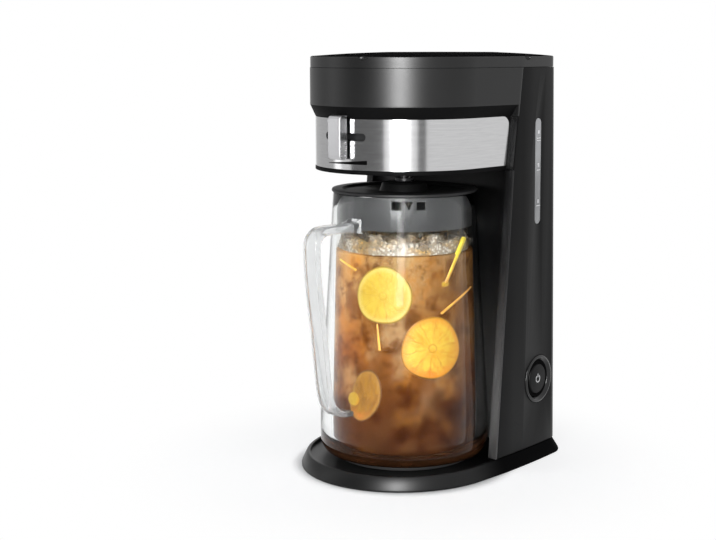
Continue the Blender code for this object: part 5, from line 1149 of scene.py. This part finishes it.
def band_end(height, inset):
    """How far back the band's seat runs at a height, with its round upper corner."""
    end = crease_back(height) - 0.0008
    over = height - CORNER_HEIGHT
    if over <= 0:
        return end - inset
    return end - BAND_CORNER + sqrt(max(0.0, (BAND_CORNER - inset) ** 2 - over**2))


def corner_heights(inset, steps=10):
    return [CORNER_HEIGHT + (BAND_CORNER - inset) * sin(pi / 2 * i / steps) for i in range(steps + 1)]


def slot_shape(inner, outer):
    """The slot with round ends, as a solid that cuts a wall about the axis."""
    half, round_end = SLOT_RADIUS * radians(17.0), 0.00315
    line = []
    for side in (1, -1):
        for i in range(17):
            turn = -pi / 2 + pi * i / 16
            line.append((side * (half - round_end + round_end * cos(turn)), side * round_end * sin(turn)))
    work = extruded(line, inner, outer)
    for i in range(1, 24):
        cut_across(work, (lerp(-half, half, i / 24), 0, 0), (1, 0, 0))
    wrapped(work, SLOT_RADIUS, SLOT_HEIGHT)
    return work


SLOT_CUT = (0.069, 0.086)


class TEA_OT_head(bpy.types.Operator):
    """Shape the drum of the head with the seat of its band, and dress its floor and deck"""

    bl_idname = "tea_maker.head"
    bl_label = "Head"

    def execute(self, context):
        rim, step = SEAT_RADIUS + 0.0013, 0.0001
        rows = [(HEAD_BOTTOM, rim, True), (0.258, rim, True), (0.258 + step, SEAT_RADIUS, True)]
        rows += [(height, SEAT_RADIUS, True) for height in corner_heights(0)]
        rows.append((0.29945, 0.0747, True))
        rows += [(height, DRUM_RADIUS, False) for height in (0.3088, 0.3104, 0.338, HEAD_TOP)]
        work = lofted([self.ring(*row) for row in rows])
        round_edges(work, 0.00035, 2, radians(20), 0.339)
        drum = placed("head_drum", work, "drum", BODY, ("head_housing",))
        joined(drum, slot_shape(*SLOT_CUT), "drum", "DIFFERENCE")
        # Faces under the drum and on the band's seat take the dull shadow-side black: painted shade.
        second_finish(drum, "matt", lambda face: face.center.z < 0.3 or face.normal.z < -0.2)
        second_finish(drum, "rim", self.at_seat_end)
        dress("head_floor", "inner", 0.0003)
        dress("head_deck", "inner", 0.0003)
        dress("hinge_bracket", "inner", 0.0002)
        dress("hinge_pin", "bright")
        return {"FINISHED"}

    @staticmethod
    def at_seat_end(face):
        """The short walls at both ends of the band's seat."""
        return face.center.z < 0.2992 and face.normal.y < -0.8 and abs(face.center.x) > 0.075

    @staticmethod
    def ring(height, radius, recessed):
        """The head's wall at a height: the drum in front, and the cheeks that run back to the crease."""
        crease = crease_back(height)
        side = tower_width(height)
        arc = front_quarter(radius, radius)
        if recessed:
            end = band_end(height, 0)
            outer = arc + [(radius, end), (0.075, end + 0.0004), (0.075, crease), (side, crease)]
            inside_radius = SEAT_RADIUS - 0.0026
            turn = [(side, crease + WALL), (inside_radius, crease + WALL)]
        else:
            slope = (side - radius) / crease
            outer = arc + [(side - slope * k * 0.0015, crease - k * 0.0015) for k in (3, 2, 1, 0)]
            inside_radius = radius - 0.0026
            turn = [(side, crease + WALL), (side - 0.0026, crease + WALL)]
        inside = turn + front_quarter(inside_radius, inside_radius)[::-1]
        return at_height(mirrored(outer) + outer[1:] + inside + mirrored(inside)[1:], height)


class TEA_OT_band(bpy.types.Operator):
    """Wrap the brushed steel band round the head, with its slot, its wedge scale and its slider"""

    bl_idname = "tea_maker.band"
    bl_label = "Steel Band"

    def execute(self, context):
        rings = []
        for height in [0.2583] + corner_heights(BAND_GAP):
            end = band_end(height, BAND_GAP)
            far = front_quarter(BAND_RADIUS, BAND_RADIUS, 0.0, 56) + [(BAND_RADIUS, end)]
            near = [(BAND_INSIDE, end)] + front_quarter(BAND_INSIDE, BAND_INSIDE, 0.0, 56)[::-1]
            rings.append(at_height(mirrored(far) + far[1:] + near + mirrored(near)[1:], height))
        band = placed("band_wrap", lofted(rings), "band", BODY, ("steel_band",))
        joined(band, slot_shape(*SLOT_CUT), "band", "DIFFERENCE")
        knob = dress("slider_knob", "knob", 0.0004, "slider", 3)
        # The knob's two side faces take the darker metal: painted shade.
        second_finish(knob, "knob_side", lambda face: abs(face.normal.x) > 0.95)
        dress("slider_carriage", "inner", 0.0, "slider")
        dress("bypass_collar", "grey", 0.0, "slider")
        self.wedge()
        return {"FINISHED"}

    def wedge(self):
        """A printed wedge under the knob that grows towards the strong end."""
        rows = ((-0.018, 0.2628, 0.0004), (0.0234, 0.2646, 0.0034))
        line = [(x, z - thick / 2) for x, z, thick in rows] + [(x, z + thick / 2) for x, z, thick in reversed(rows)]
        work = extruded(line, BAND_RADIUS, BAND_RADIUS + 0.00006)
        for i in range(1, 16):
            cut_across(work, (lerp(rows[0][0], rows[1][0], i / 16), 0, 0), (1, 0, 0))
        wrapped(work, BAND_RADIUS)
        placed("strength_wedge", work, "ink", BODY)


LID_SIDE_TOP = 0.3478
HINGE_BACK, HINGE_HEIGHT = 0.103225, 0.3449


class TEA_OT_lid(bpy.types.Operator):
    """Shape the crowned lid with its round shoulder, its hollow and its hinge, and the spray head under it"""

    bl_idname = "tea_maker.lid"
    bl_label = "Top Lid"

    def execute(self, context):
        low = HEAD_TOP + 0.0002
        rows = [(0.0001, low, 0.0), (0.0, low + 0.0001, 0.0), (0.0, 0.344, 0.0), (0.0, LID_SIDE_TOP, 0.0)]
        for i in range(1, 5):
            turn = pi / 2 * i / 4
            rows.append((0.0004 - 0.0004 * cos(turn), LID_SIDE_TOP + 0.0006 * sin(turn), 0.0))
        rows += curve_through(((0.0011, 0.3488, 0.0), (0.026, 0.3508, 0.008), (0.05, 0.352, 0.02)), 8)
        lid = placed("crowned_lid", lofted([self.ring(*row) for row in rows]), "lid", "top_lid", ("top_lid",))
        hollow = lofted([self.ring(*row) for row in (
            (0.0024, low - 0.002, 0.0), (0.0024, 0.346, 0.0), (0.018, 0.3482, 0.0),
        )])
        cut_across(hollow, (0, HINGE_BACK - 0.0091, 0), (0, 1, 0), clear_outer=True)
        bmesh.ops.holes_fill(hollow, edges=[edge for edge in hollow.edges if edge.is_boundary])
        outward(hollow)
        joined(lid, hollow, "inner", "DIFFERENCE")
        self.hinge(lid)
        turn = radians(16.8)
        self.scoop(lid, about_axis(turn, DRUM_RADIUS - 0.0004, LID_SIDE_TOP), turn)
        self.scoop(lid, (tower_side_x(HEAD_TOP, 0.0645) - 0.0004, 0.0645 + AXIS_Y, LID_SIDE_TOP), pi / 2)
        # The lid's top faces take the darker dull copy of the black: painted shade.
        second_finish(lid, "crown", lambda face: face.normal.z > 0.75 and face.center.z > 0.3484)
        dress("spray_head", "grey", 0.0003, "top_lid")
        return {"FINISHED"}

    @staticmethod
    def hinge(lid):
        """Rounds the lid behind its hinge line, bores it for the pin, and clears the bracket's two knuckles."""
        arc = [(0.0049 * cos(turn), 0.0049 * sin(turn)) for turn in [pi / 2 - pi * i / 16 for i in range(17)]]
        behind = [(0.0, -0.0098), (0.0098, -0.0098), (0.0098, 0.0098), (0.0, 0.0098)] + arc
        bore = [(0.0019 * cos(2 * pi * i / 24), 0.0019 * sin(2 * pi * i / 24)) for i in range(24)]
        across = Matrix.Translation((0, HINGE_BACK, HINGE_HEIGHT)) @ ON_EDGE
        for outline, half in ((behind, 0.09), (bore, 0.0339)):
            joined(lid, extruded(outline, -half, half, across), "lid", "DIFFERENCE")
        for side in (-1, 1):
            knuckle = block((0.0068, 0.0112, 0.0196))
            bmesh.ops.translate(knuckle, verts=knuckle.verts, vec=(side * 0.027, HINGE_BACK + 0.001, HINGE_HEIGHT))
            joined(lid, knuckle, "lid", "DIFFERENCE")

    @staticmethod
    def ring(inset, height, shift):
        """The lid's outline at a height, drawn in by an inset and moved back."""
        inset += 0.0004
        half = front_quarter(DRUM_RADIUS, DRUM_RADIUS, inset, 56)
        half += rear_side(tower_width(HEAD_TOP), 0.013, tower_back(HEAD_TOP), inset, crease_back(HEAD_TOP))
        return [(x, y + shift, z) for x, y, z in at_height(whole(half), height)]

    @staticmethod
    def scoop(lid, place, turn):
        """A finger mark cut as a small oval scoop in the upper edge."""
        work = bmesh.new()
        bmesh.ops.create_uvsphere(work, u_segments=24, v_segments=12, radius=1.0)
        bmesh.ops.scale(work, verts=work.verts, vec=(0.0046, 0.0028, 0.0022))
        bmesh.ops.transform(work, matrix=Matrix.Translation(place) @ Matrix.Rotation(turn, 4, "Z"), verts=work.verts)
        joined(lid, work, "lid", "DIFFERENCE")


# Height, width and thickness of each printed mark
LEVEL_TICKS = (
    (0.2847, 0.0026, 0.003), (0.2795, 0.0058, 0.0008), (0.2775, 0.0058, 0.0008), (0.2566, 0.0024, 0.003),
    (0.2523, 0.0052, 0.0009), (0.2257, 0.0024, 0.003), (0.2218, 0.0058, 0.0009),
)


class TEA_OT_window(bpy.types.Operator):
    """Set the water window into the tower's side"""

    bl_idname = "tea_maker.window"
    bl_label = "Water Window"

    def execute(self, context):
        dress("level_window", "smoked", 0.0004)
        dress("water_tank", "tank")
        turn = Matrix.Rotation(atan2(0.064, 0.99795) + pi / 2, 4, "Z")
        for number, (height, wide, tall) in enumerate(LEVEL_TICKS, 1):
            work = block((wide, 0.0002, tall))
            ease(work, list(work.edges), 0.00008, 2, True)
            place = Matrix.Translation((0.0805022, 0.0761248, height))
            bmesh.ops.transform(work, matrix=place @ turn, verts=work.verts)
            placed(f"level_tick_{number}", work, "print", BODY)
        return {"FINISHED"}


# Where the power button faces, and the middle of its cap
BUTTON_OUTWARD = Vector((0.997668, 0.06825, 0.0))
BUTTON_MIDDLE = Vector((0.0807746, 0.0795248, 0.0702))


class TEA_OT_button(bpy.types.Operator):
    """Fit the power button's bezel, ring and cap"""

    bl_idname = "tea_maker.button"
    bl_label = "Power Button"

    def execute(self, context):
        dress("button_bezel", "rim", 0.0004, BODY, 3)
        dress("button_ring", "gasket")
        dress("power_button", "shell", 0.0003, "power_button")
        self.mark()
        return {"FINISHED"}

    def mark(self):
        """A plain power mark, an open ring with a bar in its gap."""
        thick, outline = 0.00015, []
        for radius, turns in ((0.0034, range(0, 25)), (0.0026, range(24, -1, -1))):
            for i in turns:
                turn = radians(125 + 290 * i / 24)
                outline.append((radius * cos(turn), radius * sin(turn)))
        work = extruded(outline, 0.0, thick)
        upright = extruded([(-0.0004, 0.0012), (0.0004, 0.0012), (0.0004, 0.0044), (-0.0004, 0.0044)], 0.0, thick)
        bar = mesh_of(upright, "bar")
        work.from_mesh(bar)
        bpy.data.meshes.remove(bar)
        facing = atan2(BUTTON_OUTWARD.y, BUTTON_OUTWARD.x)
        stand = Matrix.Rotation(facing + pi / 2, 4, "Z") @ Matrix.Rotation(pi / 2, 4, "X")
        place = Matrix.Translation(BUTTON_MIDDLE - BUTTON_OUTWARD * 0.00058)
        bmesh.ops.transform(work, matrix=place @ stand, verts=work.verts)
        outward(work)
        placed("power_mark", work, "print", "power_button")


class TEA_OT_brewing(bpy.types.Operator):
    """Dress the brew basket, its filter and the drip valve"""

    bl_idname = "tea_maker.brewing"
    bl_label = "Brewing Parts"

    def execute(self, context):
        dress("brew_basket", "inner", 0.0002)
        dress("filter_frame", "inner")
        dress("filter_screen", "mesh")
        dress("riser_nozzle", "grey")
        for node, finish in (("drip_plunger", "grey"), ("valve_seal", "rubber")):
            dress(node, finish, 0.0, "drip_valve")
        spring = dress("valve_spring", "screw")
        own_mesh(spring)
        return {"FINISHED"}


class TEA_OT_insides(bpy.types.Operator):
    """Give the heater, the hoses and the wiring parts their finishes"""

    bl_idname = "tea_maker.insides"
    bl_label = "Inner Parts"

    def execute(self, context):
        for node, finish in (
            ("boiler_tube", "aluminium"), ("heating_element", "element"), ("boiler_bracket", "aluminium"),
            ("thermostat", "grey"), ("thermal_fuse", "white"), ("terminal_block", "white"), ("check_valve", "grey"),
            ("tank_hose", "silicone"), ("riser_tube", "silicone"), ("power_switch", "inner"),
        ):
            recolour(node, finish)
        spring = dress("button_spring", "screw")
        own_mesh(spring)
        return {"FINISHED"}


class TEA_OT_stage(bpy.types.Operator):
    """Set up the pale floor, the studio lights and the photo's view"""

    bl_idname = "tea_maker.stage"
    bl_label = "Stage"

    def execute(self, context):
        settings = context.scene.tea_maker_stage
        context.scene.view_settings.view_transform = "Standard"
        self.floor()
        self.world()
        for name, azimuth, rise, distance, wide, tall, power in (
            ("key_strip", -5.0, 0.5, 1.3, 0.28, 0.9, settings.key_power),
            ("soft_key", -12.0, 0.9, 1.3, 0.6, 0.6, settings.soft_power),
            ("left_box", -92.0, 0.45, 1.4, 0.3, 0.8, settings.fill_power * 0.45),
            ("top_box", 20.0, 1.6, 0.5, 0.9, 0.9, settings.fill_power),
        ):
            lamp = self.lamp(name, settings.camera_turn + azimuth, rise, distance, wide, tall, power)
            lamp.visible_diffuse = name != "key_strip"
            lamp.visible_transmission = False
            lamp.visible_glossy = name in ("key_strip", "left_box")
        for name, azimuth, wide, level in (
            ("dark_card", -47.5, 0.91, 0.19), ("narrow_card", 21.5, 0.2, 0.24), ("side_card", -128.0, 1.2, 0.6),
        ):
            self.card(name, settings.camera_turn + azimuth, wide, level)
        self.camera(settings)
        return {"FINISHED"}

    def floor(self):
        """A floor that keeps the shadow near the base, with a painted contact shadow where its glow is dimmed under
        the base's front edge, and turns white further out.
        """
        work = bmesh.new()
        bmesh.ops.create_circle(work, cap_ends=True, segments=64, radius=6.0)
        mesh = mesh_of(work, "studio_floor")
        graph = Graph("pale_studio_floor")
        place = graph.place()
        base = graph.mix(graph.noise(place, 3.0, 2.0, 0.5), (0.49, 0.49, 0.49), (0.51, 0.51, 0.51))
        distance = graph.around(place)[1]
        # Painted shadow: the glow drops to less than a third close round the drum's axis, under the base's front
        # edge.
        glow = graph.mix(graph.eased(distance, 0.086, 0.1), (0.3,) * 3, (1.0,) * 3)
        lit = graph.principled(Base_Color=base, Roughness=0.7, Specular_IOR_Level=0.1,
                               Emission_Color=glow, Emission_Strength=0.68)
        white = graph.add("ShaderNodeEmission", None, {"Color": (1.0, 1.0, 1.0, 1.0), "Strength": 1.0})
        mesh.materials.append(graph.end(graph.blend(graph.eased(distance, 0.095, 0.26), lit, white)))
        linked("studio_floor", mesh)

    def world(self):
        """White where it is seen, mirrored or looked at through glass, and soft elsewhere."""
        world = bpy.data.worlds.new("studio_world")
        bpy.context.scene.world = world
        graph = Graph("studio_world", world)
        ray = graph.add("ShaderNodeLightPath").socket.node
        seen, mirrored_ray, through = (
            Value(graph, ray.outputs[f"Is {kind} Ray"]) for kind in ("Camera", "Glossy", "Transmission")
        )
        clamped = {"operation": "ADD", "use_clamp": True}
        shown = graph.add("ShaderNodeMath", clamped, {0: seen + mirrored_ray, 1: through})
        white = graph.add("ShaderNodeBackground", None, {"Color": (1.0, 1.0, 1.0, 1.0)})
        soft = graph.add("ShaderNodeBackground", None, {"Color": (0.9, 0.93, 1.0, 1.0), "Strength": 0.35})
        graph.end(graph.blend(shown, soft, white))

    def lamp(self, name, azimuth, rise, distance, wide, tall, power):
        """A soft box that faces the middle of the object."""
        light = bpy.data.lights.new(name, "AREA")
        light.shape = "RECTANGLE"
        light.size = wide
        light.size_y = tall
        light.energy = power
        lamp = linked(name, light)
        lamp.location = about_axis(radians(azimuth), distance, rise)
        lamp.rotation_euler = (Vector((0, AXIS_Y, 0.18)) - lamp.location).to_track_quat("-Z", "Y").to_euler()
        return lamp

    def card(self, name, azimuth, wide, level):
        """A grey card beside the camera, which only shows as a darker zone in glossy surfaces."""
        work = bmesh.new()
        bmesh.ops.create_grid(work, x_segments=2, y_segments=2, size=0.5)
        bmesh.ops.scale(work, verts=work.verts, vec=(wide, 1.3, 1.0))
        turn = radians(azimuth)
        place = Matrix.Translation(about_axis(turn, 1.1, 0.4))
        upright = Matrix.Rotation(turn, 4, "Z") @ Matrix.Rotation(pi / 2, 4, "X")
        bmesh.ops.transform(work, matrix=place @ upright, verts=work.verts)
        mesh = mesh_of(work, name)
        graph = Graph(name + "_grey")
        tone = graph.mix(graph.noise(graph.place(), 2.0), (level * 0.95,) * 3, (level * 1.05,) * 3)
        mesh.materials.append(graph.surface(
            Base_Color=(0.0, 0.0, 0.0), Specular_IOR_Level=0.0, Emission_Color=tone, Emission_Strength=1.0
        ))
        card = linked(name, mesh)
        for kind in ("camera", "diffuse", "transmission", "shadow"):
            setattr(card, "visible_" + kind, False)

    def camera(self, settings):
        """The photo's view."""
        data = bpy.data.cameras.new("photo_camera")
        data.sensor_fit = "HORIZONTAL"
        data.sensor_width = 36.0
        data.lens = 69.3
        data.shift_x = -0.0647
        data.shift_y = -0.0740
        data.clip_start = 0.01
        camera = linked("photo_camera", data)
        turn, pitch = radians(settings.camera_turn), radians(settings.camera_pitch)
        camera.location = about_axis(turn, settings.camera_distance, settings.camera_height)
        look = Vector((-sin(turn) * cos(pitch), cos(turn) * cos(pitch), -sin(pitch)))
        camera.rotation_euler = look.to_track_quat("-Z", "Y").to_euler()
        bpy.context.scene.camera = camera


# Settings


class TeaMakerColours(bpy.types.PropertyGroup):
    """Colours of the finishes"""

    shell_black: FloatVectorProperty(
        name="Shell black", description="Base colour of the black mouldings", subtype="COLOR", size=3,
        default=(0.0035, 0.0035, 0.0037), min=0.0, max=1.0,
    )
    band_steel: FloatVectorProperty(
        name="Band steel", description="Base colour of the brushed steel band", subtype="COLOR", size=3,
        default=(0.54, 0.54, 0.545), min=0.0, max=1.0,
    )


class TeaMakerSizes(bpy.types.PropertyGroup):
    """Sizes of what the jug holds"""

    tea_level: FloatProperty(
        name="Tea level", description="Height of the tea above the floor", default=0.187, min=0.06, max=0.2,
        unit="LENGTH", precision=4,
    )
    slice_thickness: FloatProperty(
        name="Slice thickness", description="Thickness of each lemon slice", default=0.0042, min=0.002, max=0.008,
        unit="LENGTH", precision=4,
    )
    ice_size: FloatProperty(
        name="Ice size", description="Edge of the smallest ice cube", default=0.009, min=0.004, max=0.014,
        unit="LENGTH", precision=4,
    )


class TeaMakerStage(bpy.types.PropertyGroup):
    """The camera's place and the lights' power"""

    camera_turn: FloatProperty(
        name="Camera turn", description="How far round from the front the camera stands, in degrees",
        default=PHOTO_TURN,
    )
    camera_pitch: FloatProperty(
        name="Camera pitch", description="How far the camera looks down, in degrees", default=7.0
    )
    camera_distance: FloatProperty(
        name="Camera distance", description="From the drum's axis to the camera", default=1.1613, unit="LENGTH"
    )
    camera_height: FloatProperty(
        name="Camera height", description="Above the floor", default=0.3555, unit="LENGTH"
    )
    key_power: FloatProperty(
        name="Key power", description="Power of the tall strip that shows in glossy surfaces, in watts", default=42.0
    )
    soft_power: FloatProperty(
        name="Soft key power", description="Power of the soft box that lights the object, in watts", default=4.8
    )
    fill_power: FloatProperty(
        name="Fill power", description="Power of each soft box, in watts", default=1.6
    )


class TEA_PT_panel(bpy.types.Panel):
    """Settings of the iced tea maker, and a button for each of its groups"""

    bl_idname = "TEA_PT_panel"
    bl_label = "Iced Tea Maker"
    bl_space_type = "VIEW_3D"
    bl_region_type = "UI"
    bl_category = "Tea Maker"

    def draw(self, context):
        scene = context.scene
        for settings in (scene.tea_maker_sizes, scene.tea_maker_colours, scene.tea_maker_stage):
            box = self.layout.box()
            for key in settings.__annotations__:
                box.prop(settings, key)
        for step in STEPS:
            self.layout.operator(step.bl_idname)


STEPS = (
    TEA_OT_base, TEA_OT_tower, TEA_OT_head, TEA_OT_band, TEA_OT_lid, TEA_OT_window, TEA_OT_button, TEA_OT_brewing,
    TEA_OT_insides, TEA_OT_jug, TEA_OT_jug_lid, TEA_OT_tea, TEA_OT_stage,
)
GROUPS = {"tea_maker_sizes": TeaMakerSizes, "tea_maker_colours": TeaMakerColours, "tea_maker_stage": TeaMakerStage}
CLASSES = (*GROUPS.values(), *STEPS, TEA_PT_panel)


def register():
    for item in CLASSES:
        bpy.utils.register_class(item)
    for name, group in GROUPS.items():
        setattr(bpy.types.Scene, name, PointerProperty(type=group))


def unregister():
    for name in GROUPS:
        delattr(bpy.types.Scene, name)
    for item in reversed(CLASSES):
        bpy.utils.unregister_class(item)


def main():
    register()
    make_finishes(bpy.context.scene.tea_maker_colours)
    for step in STEPS:
        group, name = step.bl_idname.split(".")
        getattr(getattr(bpy.ops, group), name)()


if __name__ == "__main__":
    main()
